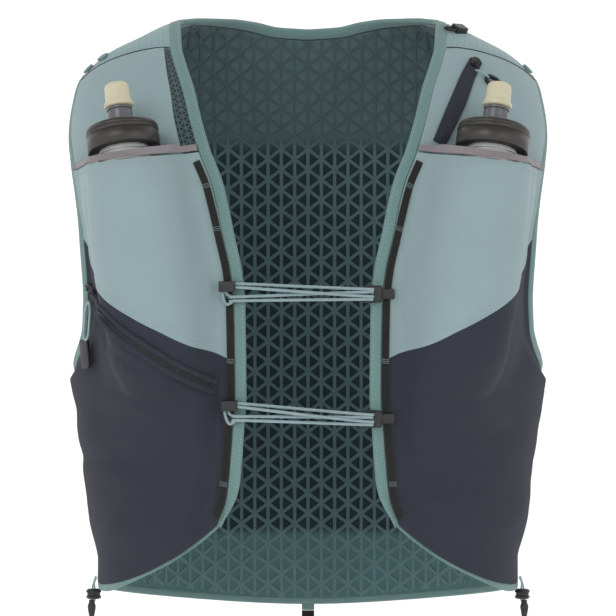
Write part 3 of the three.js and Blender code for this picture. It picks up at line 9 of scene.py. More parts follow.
import bmesh
import bpy
import numpy as np
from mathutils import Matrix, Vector


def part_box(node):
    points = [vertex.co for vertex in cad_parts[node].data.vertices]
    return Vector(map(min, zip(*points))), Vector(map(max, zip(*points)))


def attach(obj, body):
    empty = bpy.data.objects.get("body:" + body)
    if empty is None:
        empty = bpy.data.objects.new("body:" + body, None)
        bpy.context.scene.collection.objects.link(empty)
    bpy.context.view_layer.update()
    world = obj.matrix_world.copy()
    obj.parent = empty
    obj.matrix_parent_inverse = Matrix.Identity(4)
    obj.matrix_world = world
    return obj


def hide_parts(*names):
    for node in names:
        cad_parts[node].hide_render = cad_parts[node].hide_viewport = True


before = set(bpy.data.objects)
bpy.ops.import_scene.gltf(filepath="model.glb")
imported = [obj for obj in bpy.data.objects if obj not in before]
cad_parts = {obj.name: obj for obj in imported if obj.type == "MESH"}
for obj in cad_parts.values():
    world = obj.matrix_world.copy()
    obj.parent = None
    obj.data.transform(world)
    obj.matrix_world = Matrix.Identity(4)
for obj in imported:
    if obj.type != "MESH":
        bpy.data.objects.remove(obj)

logging.basicConfig(level=logging.INFO, format="%(message)s")
LOG = logging.getLogger("vest")
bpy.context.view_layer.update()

Array = np.ndarray
Layer = Callable[[Array, Array], Array]
MM = 0.001

# the body the vest lies on, in mm, and its edges as shares of the sizes

SHOULDER_TOP = 19.5
VEST_HEIGHT = 414.0
CHEST_HALF_WIDTH = 168.0
FRONT_DEPTH = 118.0
BACK_DEPTH = 110.0
SQUARENESS = 2.3
CLEARANCE = 0.3
MESH_WALL = 1.2
PANEL_WALL = 1.4
POCKET_WALL = 1.4
SHELL_WALL = 1.4
YOKE_WALL = 2.6

BODY = np.array([
    # drop, width, front, back: shares of the height, the half width and the two depths
    (0.0, 0.41, 0.27, 0.45), (0.007, 0.465, 0.29, 0.47), (0.018, 0.577, 0.33, 0.5), (0.041, 0.7, 0.4, 0.56),
    (0.065, 0.815, 0.49, 0.62), (0.088, 0.885, 0.58, 0.68), (0.11, 0.93, 0.65, 0.73),
    (0.134, 0.957, 0.72, 0.775), (0.192, 0.985, 0.845, 0.86), (0.289, 1.0, 0.945, 0.945),
    (0.41, 1.0, 1.0, 1.0), (0.53, 0.98, 1.0, 1.0), (0.603, 0.949, 0.985, 0.985), (0.65, 0.923, 0.97, 0.97),
    (0.7, 0.908, 0.955, 0.955), (0.75, 0.888, 0.94, 0.94), (0.8, 0.872, 0.925, 0.93),
    (0.9, 0.857, 0.905, 0.915), (1.0, 0.857, 0.9, 0.91),
])
OPENING_EDGE = np.array([
    # drop, reach of the front opening's edge
    (0.0157, 0.57), (0.041, 0.565), (0.065, 0.56), (0.1, 0.535), (0.137, 0.504), (0.183, 0.475),
    (0.241, 0.433), (0.293, 0.383), (0.382, 0.334), (0.436, 0.306), (0.489, 0.294), (0.634, 0.29),
    (0.683, 0.298), (0.794, 0.321), (0.844, 0.362),
])
ARMHOLE = np.array([
    # drop, front edge and back edge in degrees from the middle of the front
    (0.1, 90, 90), (0.105, 86.6, 93.6), (0.115, 84, 97), (0.134, 82, 100.5), (0.168, 80.5, 104.5),
    (0.202, 79, 107), (0.24, 75.5, 110), (0.296, 71.5, 112), (0.366, 68.4, 114), (0.46, 66.7, 114),
    (0.53, 68.5, 111.5), (0.56, 72, 108), (0.583, 78, 102), (0.6, 85, 95), (0.6075, 90, 90),
])
NECK_EDGE = np.array([
    # angle, drop of the neck's edge behind the shoulders
    (90, 0.0157), (101, 0.0105), (112, 0.0095), (126, 0.0105), (142, 0.0165), (158, 0.0255), (180, 0.029),
])
FRONT_LINES = {
    # name: line number, drop at the opening, drop at the armhole, bow
    "ridge": (0, 0.0157, 0.1, 0.0), "seam": (2, 0.065, 0.115, 0.016), "chest": (4, 0.15, 0.17, -0.004),
    "mouth": (6, 0.2405, 0.264, -0.03), "flask": (10, 0.41, 0.32, -0.01),
    "colour": (13, 0.575, 0.375, -0.022), "waist": (16, 0.67, 0.53, -0.012),
    "armpit": (19, 0.73, 0.6075, -0.01), "belly": (21, 0.785, 0.78, -0.014), "hem": (23, 0.844, 0.947, -0.041),
}
BACK_LINES = {
    # name: line number, drop at the side, drop in the middle
    "top": (0, 0.13, 0.029), "blade": (2, 0.24, 0.17), "rib": (5, 0.46, 0.42), "armpit": (9, 0.6075, 0.61),
    "loin": (11, 0.78, 0.8), "hem": (13, 0.947, 1.0),
}
FLASK_FORM = np.array([
    # share along the flask, width, depth
    (0.0, 0.84, 0.9), (0.06, 0.93, 1.0), (0.35, 1.02, 1.0), (0.75, 0.98, 0.86), (0.9, 0.84, 0.6),
    (1.0, 0.56, 0.22),
])


class Curve:
    """A smooth curve through a table's points, with no overshoot."""

    def __init__(self, at: Sequence[float], value: Sequence[float]) -> None:
        """Takes the places and the values there.

        Args:
            at: Places, rising.
            value: Values at those places.
        """
        self.at = np.asarray(at, float)
        self.value = np.asarray(value, float)
        rise = np.diff(self.value) / np.diff(self.at)
        before, after = rise[:-1], rise[1:]
        safe = np.where(before * after > 0, before + after, 1.0)
        inner = np.where(before * after > 0, 2 * before * after / safe, 0.0)
        self.slope = np.concatenate([rise[:1], inner, rise[-1:]])

    def __call__(self, place: Array) -> Array:
        """Reads the curve: a cubic between two points with harmonic mean slopes.

        Args:
            place: Places to read.

        Returns:
            The values there, held at the ends.
        """
        x = np.clip(place, self.at[0], self.at[-1])
        i = np.clip(np.searchsorted(self.at, x, side="left") - 1, 0, len(self.at) - 2)
        span = self.at[i + 1] - self.at[i]
        t = (x - self.at[i]) / span
        start = (1 + 2 * t) * (1 - t) ** 2 * self.value[i] + t * (1 - t) ** 2 * span * self.slope[i]
        end = t * t * (3 - 2 * t) * self.value[i + 1] + t * t * (t - 1) * span * self.slope[i + 1]
        return start + end


def lines_curve(lines: dict, column: int) -> Curve:
    """The curve of one column of a table of lines, read by line number."""
    rows = list(lines.values())
    return Curve([row[0] for row in rows], [row[column] for row in rows])


body_width, body_front, body_back = (Curve(BODY[:, 0], BODY[:, k]) for k in (1, 2, 3))
opening_reach = Curve(OPENING_EDGE[:, 0], OPENING_EDGE[:, 1])
armhole_front, armhole_back = (Curve(ARMHOLE[:, 0], ARMHOLE[:, k]) for k in (1, 2))
neck_drop = Curve(NECK_EDGE[:, 0], NECK_EDGE[:, 1])
flask_width, flask_depth = (Curve(FLASK_FORM[:, 0], FLASK_FORM[:, k]) for k in (1, 2))
front_opening, front_armhole, front_bow = (lines_curve(FRONT_LINES, k) for k in (1, 2, 3))
back_side, back_middle = (lines_curve(BACK_LINES, k) for k in (1, 2))
SEAM, MOUTH, COLOUR, ARMPIT, HEM = (
    FRONT_LINES[name][0] for name in ("seam", "mouth", "colour", "armpit", "hem"))
BACK_ARMPIT, BACK_HEM = BACK_LINES["armpit"][0], BACK_LINES["hem"][0]


def mix(low: Array, high: Array, share: Array) -> Array:
    """The value at a share of the way from one to another."""
    return low + (high - low) * share


def ease(low: float, high: float, value: Array) -> Array:
    """A smooth step from 0 to 1 between two limits."""
    t = np.clip((value - low) / (high - low), 0, 1)
    return t * t * (3 - 2 * t)


def drop_of(z: Array) -> Array:
    """The share of the height that a height lies below the shoulder line."""
    return (SHOULDER_TOP - z) / VEST_HEIGHT


def height_of(drop: Array) -> Array:
    """The height of a share below the shoulder line."""
    return SHOULDER_TOP - drop * VEST_HEIGHT


def body_point(angle: Array, z: Array) -> Array:
    """Points of the body: a rounded box section whose sizes change with the height."""
    turn = np.radians(angle)
    across, ahead = np.sin(turn), np.cos(turn)
    drop = drop_of(z)
    width = CHEST_HALF_WIDTH * body_width(drop)
    depth = np.where(ahead > 0, FRONT_DEPTH * body_front(drop), BACK_DEPTH * body_back(drop))
    total = np.abs(across / width) ** SQUARENESS + np.abs(ahead / depth) ** SQUARENESS
    radius = total ** (-1 / SQUARENESS)
    return np.stack([radius * across, -radius * ahead, z + 0 * radius], -1)


def unit(vectors: Array) -> Array:
    """Vectors of length one."""
    return vectors / np.maximum(np.linalg.norm(vectors, axis=-1, keepdims=True), 1e-9)


def body_normal(angle: Array, z: Array) -> Array:
    """Directions that leave the body, from its slopes round and up."""
    along = body_point(angle + 0.5, z) - body_point(angle - 0.5, z)
    up = body_point(angle, z + 1.0) - body_point(angle, z - 1.0)
    return unit(np.cross(along, up))


def off_body(angle: Array, z: Array, lift: Array) -> Array:
    """Points lifted off the body along its normals."""
    return body_point(angle, z) + body_normal(angle, z) * np.asarray(lift)[..., None]


def front_angle(x: Array, z: Array) -> Array:
    """The angle of the front surface at a distance from the middle."""
    drop = drop_of(z)
    share = np.minimum(1, np.abs(x) / (CHEST_HALF_WIDTH * body_width(drop)))
    ahead = FRONT_DEPTH * body_front(drop) * (1 - share ** SQUARENESS) ** (1 / SQUARENESS)
    return np.degrees(np.arctan2(np.abs(x), ahead))


def opening_angle(drop: Array) -> Array:
    """The angle of the front opening's edge."""
    return front_angle(CHEST_HALF_WIDTH * opening_reach(drop), height_of(drop))


def front_place(across: Array, line: Array) -> tuple[Array, Array]:
    """A place on one front: a share from the opening to the armhole, on a numbered line."""
    opening, armhole = front_opening(line), front_armhole(line)
    bow = front_bow(line) * 4 * across * (1 - across)
    angle = mix(opening_angle(opening), armhole_front(armhole), across)
    return angle, height_of(mix(opening, armhole, across) - bow)


def yoke_place(across: Array, back: Array) -> tuple[Array, Array]:
    """A place on the yoke behind the ridge: a share from the neck and a share back."""
    ridge = front_place(across, np.zeros_like(across))[1]
    arm_drop = mix(0.1, BACK_LINES["top"][1], back)
    neck_angle = mix(90.0, 102.0, back)
    bend = mix(height_of(neck_drop(np.float64(90))), height_of(0.1), across)
    z = mix(height_of(neck_drop(neck_angle)), height_of(arm_drop), across) + ridge - bend
    return mix(neck_angle, armhole_back(arm_drop), across), z


def back_place(across: Array, line: Array) -> tuple[Array, Array]:
    """A place on the back: from -1 at the left edge to 1 at the right, on a numbered line."""
    far = np.abs(across)
    column = far * 10
    neck_angle = mix(180.0, 102.0, np.minimum(column, 6) / 6)
    yoke_angle, yoke_z = yoke_place(np.clip((column - 6) / 4, 0, 1), np.ones_like(far))
    top_angle = np.where(column <= 6, neck_angle, yoke_angle)
    top_z = np.where(column <= 6, height_of(neck_drop(neck_angle)), yoke_z)
    end_angle, end_z = yoke_place(np.float64(1), np.float64(1))
    side, middle = back_side(line), back_middle(line)
    fade = 1 - ease(0, BACK_HEM * 0.45, line)
    angle = mix(180.0, armhole_back(side), far) + (top_angle - mix(180.0, end_angle, far)) * fade
    plain_z = mix(height_of(BACK_LINES["top"][2]), end_z, far * far)
    z = mix(height_of(middle), height_of(side), far * far) + (top_z - plain_z) * fade
    return np.where(across < 0, 360 - angle, angle), z


# heights of the layers off the body in mm, and the flask that fills the pockets

PANEL_LOW = MESH_WALL + CLEARANCE + 0.1
PANEL_HIGH = PANEL_LOW + PANEL_WALL
FLASK_BACK = PANEL_HIGH + CLEARANCE
FLASK_SEAT = FLASK_BACK + 0.5
FLASK_HALF_WIDTH = 31.0
FLASK_DEPTH = 42.0
FLASK_LENGTH = 160.0
FLASK_SHOULDER = height_of(0.264)
FLASK_LEAN = math.tan(math.radians(6.3))
RAIL_WIDTH = 5.0
RAIL_INSET = 0.6
RAIL_ZONE = RAIL_WIDTH + 2 * RAIL_INSET
RAIL_THICKNESS = 1.3
POCKET_FILL = 7.0
GATHER_REACH = 8.5
GATHER_RISE = 0.75
ZIP_GROOVE_WIDTH = 3.2
ZIP_GROOVE_DEPTH = 1.1
ARMHOLE_LOW = float(ARMHOLE[-1, 0])
BULGE_POWER = 2.4
BULGE_ROUND = 0.6

DENTS = (
    # side, reach, drop, width, height, depth: soft dents in the lower pockets
    (-1, 0.62, 0.735, 0.3, 0.018, 2.6), (-1, 0.5, 0.83, 0.26, 0.016, 2.2), (-1, 0.8, 0.66, 0.16, 0.02, 1.8),
    (1, 0.55, 0.78, 0.3, 0.02, 2.4), (1, 0.7, 0.69, 0.2, 0.018, 1.8),
)
FOLDS = (
    # side, x, z, half length, half width, tilt in degrees, depth: narrow folds, in mm
    (-1, 96, -128, 34, 4.0, 84, -0.8), (-1, 138, -120, 30, 4.5, 100, 0.9), (-1, 72, -190, 40, 4.0, 78, 0.7),
    (-1, 110, -196, 30, 6.0, 150, -0.7), (-1, 80, -262, 38, 5.0, 20, 0.9), (-1, 118, -290, 34, 5.0, 8, -1.1),
    (-1, 95, -318, 42, 4.5, 176, 1.0), (-1, 72, -344, 26, 4.0, 12, -0.9), (-1, 128, -332, 20, 5.0, 120, 0.8),
    (1, 84, -126, 36, 4.0, 100, -0.8), (1, 140, -124, 30, 4.5, 80, 0.9), (1, 70, -186, 42, 4.5, 104, 0.8),
    (1, 122, -176, 26, 6.0, 30, -0.6), (1, 92, -252, 40, 5.0, 160, 0.9), (1, 120, -286, 34, 5.0, 172, -1.0),
    (1, 84, -312, 40, 4.5, 6, 1.0), (1, 104, -346, 30, 4.0, 170, -0.9), (1, 140, -318, 20, 5.0, 60, 0.8),
)
ZIP_PATH = np.array([
    # reach and drop of the left pocket's zip
    (0.87, 0.463), (0.81, 0.503), (0.734, 0.5345), (0.649, 0.558), (0.53, 0.589), (0.43, 0.61),
    (0.375, 0.619),
])


def flask_angle(z: Array) -> Array:
    """The angle of the flask's middle line."""
    return front_angle(CHEST_HALF_WIDTH * 0.655 + (z - FLASK_SHOULDER) * FLASK_LEAN, z)


def distance(first: tuple[Array, Array], second: tuple[Array, Array]) -> Array:
    """The distance between places on the body."""
    return np.linalg.norm(body_point(*first) - body_point(*second), axis=-1)


def zip_nearness(x: Array, z: Array) -> tuple[Array, Array]:
    """The distance to the pocket's zip line and the way along it, seen from the front."""
    line = np.stack([ZIP_PATH[:, 0] * CHEST_HALF_WIDTH, height_of(ZIP_PATH[:, 1])], -1)
    best = np.full(np.shape(x), 1e9)
    along = np.zeros(np.shape(x))
    gone = 0.0
    for start, end in zip(line[:-1], line[1:]):
        span = end - start
        length = float(np.hypot(*span))
        share = np.clip(((x - start[0]) * span[0] + (z - start[1]) * span[1]) / length ** 2, 0, 1)
        away = np.hypot(x - start[0] - share * span[0], z - start[1] - share * span[1])
        nearer = away < best
        best = np.where(nearer, away, best)
        along = np.where(nearer, gone + share * length, along)
        gone += length
    return best, along


def creases(angle: Array, z: Array, side: int) -> Array:
    """Small folds and gathers of a pocket's cloth, in mm."""
    x = body_point(angle, z)[..., 0]
    relief = np.zeros(np.shape(x))
    for fold_side, fx, fz, length, width, tilt, depth in FOLDS:
        if fold_side != side:
            continue
        turn = math.radians(tilt)
        along = (x - fx) * math.cos(turn) + (z - fz) * math.sin(turn)
        off = -(x - fx) * math.sin(turn) + (z - fz) * math.cos(turn)
        relief += depth * np.exp(-(along / length) ** 2 - (off / width) ** 2)
    relief += 0.28 * np.sin(x / 9.7 + 1.3 * side) * np.sin(z / 13.1 + x / 31)
    relief += 0.16 * np.sin(x / 4.3 - z / 6.1)
    if side < 0:
        away, along = zip_nearness(x, z)
        gather = np.sin(along * 0.72 + 1.4 * np.sin(along * 0.21)) * np.exp(-(away / GATHER_REACH) ** 2)
        groove = np.exp(-(away / ZIP_GROOVE_WIDTH) ** 2)
        relief += GATHER_RISE * gather * ease(2, 5, away) - ZIP_GROOVE_DEPTH * groove
    return relief


def bulge(share: Array) -> Array:
    """How full a flask is at a share of its half width from its middle line."""
    return (1 - np.minimum(1, share) ** BULGE_POWER) ** BULGE_ROUND


@dataclass(frozen=True)
class Pocket:
    """How one side's pockets stand off the chest panel."""

    side: int
    cover_extra: float = 2.0
    cover_margin: float = 2.6
    blend_power: float = 7.0
    skirt_share: float = 2.2
    skirt_bulk: float = 0.8
    base_drops: tuple[float, float] = (0.32, 0.37)
    fill_drops: tuple[float, float] = (0.42, 0.66)
    fill_end: float = 0.93
    tail_shares: tuple[float, float] = (0.94, 1.3)
    cover_shares: tuple[float, float] = (0.9, 1.12)

    def low(self, angle: Array, z: Array) -> Array:
        """The inner face: a soft maximum of the flask's cover and the pocket's own fullness."""
        drop = drop_of(z)
        base = mix(FLASK_BACK, PANEL_LOW, ease(*self.base_drops, drop))
        near = opening_angle(drop)
        far = np.where(drop < ARMHOLE_LOW, armhole_front(drop), 90.0)
        across = np.clip((angle - near) / (far - near), 0, 1)
        inward = distance((angle, z), (near, z))
        rim = ease(RAIL_ZONE + 3, RAIL_ZONE + 17, inward) * ease(0, 0.14, 1 - across)
        beside = distance((angle, z), (flask_angle(z), z))
        along = (FLASK_SHOULDER - z) / FLASK_LENGTH
        share = np.clip(along, 0, 1)
        reach = FLASK_HALF_WIDTH * self.skirt_share
        skirt = np.where(beside < reach, np.cos(np.pi * np.minimum(beside, reach) / (2 * reach)) ** 2, 0)
        bulk = self.skirt_bulk * FLASK_DEPTH * np.maximum(0.5, flask_depth(share))
        tail = bulk * skirt * (1 - ease(*self.tail_shares, along)) * rim
        fill = POCKET_FILL * ease(*self.fill_drops, drop) * ease(0, 0.1, self.fill_end - drop) * rim
        dents = np.zeros(np.shape(drop))
        x = body_point(angle, z)[..., 0]
        for side, at, level, width, height, depth in DENTS:
            if side == self.side:
                wide = (x - at * CHEST_HALF_WIDTH) / (width * CHEST_HALF_WIDTH)
                dents += depth * np.exp(-wide ** 2 - ((drop - level) / height) ** 2)
        soft = np.maximum(0, fill - dents * rim)
        width = FLASK_HALF_WIDTH * flask_width(share) + self.cover_margin
        part = np.minimum(1, beside / width)
        swell = (FLASK_DEPTH * flask_depth(share) + self.cover_extra) * bulge(part)
        cover = swell * (1 - ease(*self.cover_shares, along)) + 0.5
        plain = np.hypot(tail, soft) + 0.01
        body = (plain ** self.blend_power + cover ** self.blend_power) ** (1 / self.blend_power)
        return base + np.maximum(body - 0.5, 0) + creases(angle, z, self.side) * np.minimum(1, rim + 0.1)

    def high(self, angle: Array, z: Array) -> Array:
        """The outer face."""
        return self.low(angle, z) + POCKET_WALL

    def rail(self, angle: Array, z: Array) -> Array:
        """The rail's outer face."""
        return self.high(angle, z) + CLEARANCE + RAIL_THICKNESS


def flat(height: float) -> Layer:
    """A layer at one height off the body."""
    return lambda angle, z: np.full(np.shape(angle), height, float)


def lifted(layer: Layer, by: float) -> Layer:
    """A layer moved out by a distance."""
    return lambda angle, z: layer(angle, z) + by


def span_of(line: Array) -> Array:
    """The straight length of a line from the opening to the armhole."""
    line = np.asarray(line, float)
    return distance(front_place(np.zeros_like(line), line), front_place(np.ones_like(line), line))


def layer_point(angle: Array, z: Array, layer: Layer, side: int) -> Array:
    """Points on a layer, mirrored for the left side."""
    points = off_body(angle, z, layer(angle, z))
    return points * np.array([side, 1, 1])


def layer_normal(angle: Array, z: Array, layer: Layer, side: int) -> Array:
    """Directions that leave a layer, from its own slopes."""
    along = layer_point(angle + 1, z, layer, 1) - layer_point(angle - 1, z, layer, 1)
    up = layer_point(angle, z + 2, layer, 1) - layer_point(angle, z - 2, layer, 1)
    return unit(np.cross(along, up)) * np.array([side, 1, 1])


def place_seen(reach: Array, drop: Array, layer: Layer) -> tuple[Array, Array]:
    """The place whose point on a layer is seen at a reach and a drop."""
    x, z = np.asarray(reach, float) * CHEST_HALF_WIDTH, height_of(np.asarray(drop, float))
    angle, low = front_angle(x, z), z.copy()
    for _ in range(8):
        lift = layer(angle, low)
        here, after = off_body(angle, low, lift), off_body(angle + 1, low, lift)
        angle = angle + (x - here[..., 0]) / np.maximum(0.3, after[..., 0] - here[..., 0])
        low = low + z - here[..., 2]
    return angle, low


# meshes from whole arrays, all in mm until they are built

MAP_RADIUS = 20.0
UPRIGHT = np.array([0.0, 0.0, 1.0])


class Material(Enum):
    """The finishes, by their slot names."""

    LIGHT = "light_cloth"
    YOKE = "yoke_cloth"
    DARK = "dark_cloth"
    RIBS = "ribbed_mesh"
    WEB = "front_mesh"
    SHELL = "shell_cloth"
    TAPE = "edge_tape"
    RAIL = "rail_tape"
    MOUTH = "mouth_tape"
    FILM = "flask_film"
    CAP = "cap_plastic"
    COLLAR = "collar_plastic"
    VALVE = "valve_rubber"
    CORD = "cord"
    TRIM = "trim_plastic"


def link(name: str, data: bpy.types.ID) -> bpy.types.Object:
    """A new object of the scene."""
    thing = bpy.data.objects.new(name, data)
    bpy.context.scene.collection.objects.link(thing)
    return thing


@dataclass
class Surface:
    """Corners, faces and a map in metres, gathered before they become one object."""

    corners: list[Array] = field(default_factory=list)
    faces: list[Array] = field(default_factory=list)
    maps: list[Array] = field(default_factory=list)
    caps: list[list[int]] = field(default_factory=list)
    count: int = 0

    def add(self, corners: Array, faces: Array, uv: Array) -> None:
        """Adds corners in mm with four-cornered faces.

        Args:
            corners: Points, n by 3, in mm.
            faces: Corner numbers, m by 4.
            uv: Map places of the corners, n by 2, in mm.
        """
        self.corners.append(np.asarray(corners, float).reshape(-1, 3))
        self.faces.append(np.asarray(faces, int).reshape(-1, 4) + self.count)
        self.maps.append(np.asarray(uv, float).reshape(-1, 2))
        self.count += len(self.corners[-1])

    def join(self, other: "Surface") -> None:
        """Takes in another surface's corners, faces and caps."""
        self.corners += other.corners
        self.faces += [faces + self.count for faces in other.faces]
        self.maps += other.maps
        self.caps += [[corner + self.count for corner in cap] for cap in other.caps]
        self.count += other.count

    def build(self, name: str, material: bpy.types.Material, smooth: bool = True,
              weld: bool = True) -> bpy.types.Object:
        """Makes the object, its map and its shading.

        Args:
            name: The object's name.
            material: Its finish.
            smooth: Whether faces shade smoothly.
            weld: Whether corners that meet are joined and faces turned outward.

        Returns:
            The object, linked to the scene.
        """
        corners = np.concatenate(self.corners) * MM
        faces = np.concatenate(self.faces)
        uv = np.concatenate(self.maps) * MM
        mesh = bpy.data.meshes.new(name)
        mesh.from_pydata(corners.tolist(), [], faces.tolist() + self.caps)
        layer = mesh.uv_layers.new(name="cloth")
        loops = np.empty(len(mesh.loops), int)
        mesh.loops.foreach_get("vertex_index", loops)
        layer.data.foreach_set("uv", uv[loops].ravel())
        if weld:
            shape = bmesh.new()
            shape.from_mesh(mesh)
            bmesh.ops.remove_doubles(shape, verts=shape.verts, dist=1e-7)
            bmesh.ops.recalc_face_normals(shape, faces=shape.faces)
            shape.to_mesh(mesh)
            shape.free()
        mesh.materials.append(material)
        mesh.polygons.foreach_set("use_smooth", np.full(len(mesh.polygons), smooth))
        mesh.update()
        if smooth:
            mesh.set_sharp_from_angle(angle=math.radians(50))
        return link(name, mesh)


def grid_faces(rows: int, columns: int, wrap: bool = False) -> Array:
    """Faces of a grid of corners, row by row; wrap joins the last column to the first."""
    i, j = np.meshgrid(np.arange(rows - 1), np.arange(columns if wrap else columns - 1), indexing="ij")
    here, below, after = i * columns, (i + 1) * columns, (j + 1) % columns
    return np.stack([here + j, below + j, below + after, here + after], -1).reshape(-1, 4)


def ring_caps(count: int, sides: int) -> list[list[int]]:
    """The flat ends of a tube of rings: the first ring, and the last one the other way round."""
    return [list(range(sides)), list(range(count * sides - 1, (count - 1) * sides - 1, -1))]


def repeated(quads: Array, corners: int, count: int) -> Array:
    """The faces of many small bodies that have the same corners each."""
    return (quads[None] + corners * np.arange(count)[:, None, None]).reshape(-1, 4)


def way_along(points: Array, axis: int) -> Array:
    """The distance gone along one axis of a grid of points."""
    step = np.linalg.norm(np.diff(points, axis=axis), axis=-1)
    pad = [(0, 0)] * step.ndim
    pad[axis] = (1, 0)
    return np.pad(np.cumsum(step, axis=axis), pad)


def read_along(at: Array, gone: Array, values: Array) -> Array:
    """Points or directions of a line, read at ways along it."""
    return np.stack([np.interp(at, gone, values[:, k]) for k in range(3)], -1)


def sheet_surface(angle: Array, z: Array, low: Layer, high: Layer, side: int) -> Surface:
    """A sheet of cloth with an inner and an outer face and a rim, over a grid of places."""
    outer = layer_point(angle, z, high, side)
    inner = layer_point(angle, z, low, side)
    uv = np.stack([way_along(outer, 1), way_along(outer, 0)], -1)
    rows, columns = angle.shape
    faces = grid_faces(rows, columns)
    if side < 0:
        faces = faces[:, ::-1]
    layer = rows * columns
    index = np.arange(layer).reshape(rows, columns)
    edge = np.concatenate([index[:, 0], index[-1, 1:], index[-2::-1, -1], index[0, -2:0:-1]])
    after = np.roll(edge, -1)
    rim = np.stack([edge, edge + layer, after + layer, after], -1)
    if side < 0:
        rim = rim[:, ::-1]
    surface = Surface()
    both = np.concatenate([outer.reshape(-1, 3), inner.reshape(-1, 3)])
    faces = np.concatenate([faces, faces[:, ::-1] + layer, rim])
    surface.add(both, faces, np.concatenate([uv, uv]))
    return surface


@dataclass
class Path:
    """Stations of a strip or cord: points, directions out of the cloth, and across."""

    points: Array
    up: Array
    closed: bool = False

    def across(self) -> Array:
        """The side direction: out of the cloth crossed with the way ahead."""
        if self.closed:
            ahead = np.roll(self.points, -1, 0) - np.roll(self.points, 1, 0)
        else:
            ahead = np.gradient(self.points, axis=0)
        ahead = unit(ahead)
        self.up = unit(self.up - ahead * np.sum(self.up * ahead, -1, keepdims=True))
        return unit(np.cross(self.up, ahead))

    def length(self) -> Array:
        """The way gone at each station."""
        return way_along(self.points, 0)


def sweep(path: Path, section: Array, grow: Array | None = None) -> Surface:
    """A strip or tube: one section of across and up, carried along the stations.

    Args:
        path: The stations.
        section: k by 2, across and up in mm, turning anticlockwise.
        grow: A scale of the section at each station.

    Returns:
        The swept surface with its map; open ends are closed with a flat face.
    """
    across = path.across()
    scale = np.ones(len(path.points)) if grow is None else grow
    spread = section[None] * scale[:, None, None]
    corners = path.points[:, None] + across[:, None] * spread[..., :1] + path.up[:, None] * spread[..., 1:]
    count, k = corners.shape[:2]
    uv = np.stack(np.broadcast_arrays(way_along(section, 0)[None], path.length()[:, None]), -1)
    faces = grid_faces(count, k, wrap=True)
    if path.closed:
        ring, last = np.arange(k), (count - 1) * k
        after = (ring + 1) % k
        faces = np.concatenate([faces, np.stack([last + ring, ring, after, last + after], -1)])
    surface = Surface()
    surface.add(corners, faces[:, ::-1], uv)
    if not path.closed:
        surface.caps += ring_caps(count, k)
    return surface


def rounded_bar(low: float, high: float, bottom: float, top: float, corner: float, steps: int = 3) -> Array:
    """A strip's section with round upper and lower edges, turning anticlockwise."""
    turn = np.linspace(0, np.pi / 2, steps)
    parts = []
    for x, y, start in ((high, top, 0), (low, top, 1), (low, bottom, 2), (high, bottom, 3)):
        angle = turn + start * np.pi / 2
        cx = x - corner * np.sign(x - (low + high) / 2)
        cy = y - corner * np.sign(y - (bottom + top) / 2)
        parts.append(np.stack([cx + corner * np.cos(angle), cy + corner * np.sin(angle)], -1))
    return np.concatenate(parts)


def circle(radius: float, sides: int = 12) -> Array:
    """A round section."""
    turn = np.linspace(0, 2 * np.pi, sides, endpoint=False)
    return np.stack([radius * np.cos(turn), radius * np.sin(turn)], -1)


def spline(points: Array, count: int) -> Array:
    """A smooth line through points: a cubic through each four neighbours."""
    points = np.asarray(points, float)
    total = len(points) - 1
    t = np.linspace(0, total, count)
    i = np.minimum(t.astype(int), total - 1)
    f = (t - i)[:, None]
    a, b, c, d = (points[np.clip(i + k, 0, total)] for k in (-1, 0, 1, 2))
    square, cube = 2 * a - 5 * b + 4 * c - d, 3 * b - a - 3 * c + d
    return 0.5 * (2 * b + (c - a) * f + square * f ** 2 + cube * f ** 3)


def even(points: Array, spacing: float, closed: bool = False) -> Array:
    """Points spaced evenly along a line."""
    line = np.vstack([points, points[:1]]) if closed else points
    gone = way_along(line, 0)
    count = max(2, int(round(gone[-1] / spacing)) + (0 if closed else 1))
    at = np.linspace(0, gone[-1], count, endpoint=not closed)
    return read_along(at, gone, line)


def turned(outline: Sequence[tuple[float, float]], sides: int, origin: Array, axis: Array) -> Surface:
    """A round piece about an axis, from its outline of radius and height in mm."""
    shape = np.asarray(outline, float)
    turn = np.linspace(0, 2 * np.pi, sides, endpoint=False)
    axis = unit(axis)
    first = unit(np.cross(axis, np.array([0.0, 1.0, 0.3])))
    second = np.cross(axis, first)
    ring = np.cos(turn)[:, None] * first + np.sin(turn)[:, None] * second
    corners = origin + shape[:, None, :1] * ring[None] + shape[:, None, 1:] * axis
    uv = np.stack(np.broadcast_arrays((turn * MAP_RADIUS)[None], way_along(shape, 0)[:, None]), -1)
    surface = Surface()
    surface.add(corners, grid_faces(len(shape), sides, wrap=True)[:, ::-1], uv)
    surface.caps += ring_caps(len(shape), sides)
    return surface


def stitches(points: Array, up: Array, length: float, pitch: float, radius: float, surface: Surface) -> None:
    """A row of stitches: each a small closed lozenge lying along the line."""
    line = even(points, pitch)
    gone = way_along(points, 0)
    at = np.linspace(0, gone[-1], len(line))
    out = unit(read_along(at, gone, up))
    ahead = unit(np.gradient(line, axis=0))
    side = unit(np.cross(out, ahead))
    shape = np.array([
        # ahead, aside and out, as shares of the half length and the radius
        (-1, 0, -0.3), (-0.5, 1, 0.1), (-0.5, 0, 1), (-0.5, -1, 0.1),
        (0.5, 1, 0.1), (0.5, 0, 1), (0.5, -1, 0.1), (1, 0, -0.3),
    ])
    corners = (line[:, None] + ahead[:, None] * shape[None, :, :1] * length / 2
               + side[:, None] * shape[None, :, 1:2] * radius + out[:, None] * shape[None, :, 2:] * radius)
    quads = np.array([(0, 1, 2, 3), (1, 4, 5, 2), (2, 5, 6, 3), (7, 6, 5, 4), (0, 3, 6, 7), (0, 7, 4, 1)])
    surface.add(corners, repeated(quads, len(shape), len(line))[:, ::-1], corners[..., [0, 2]])


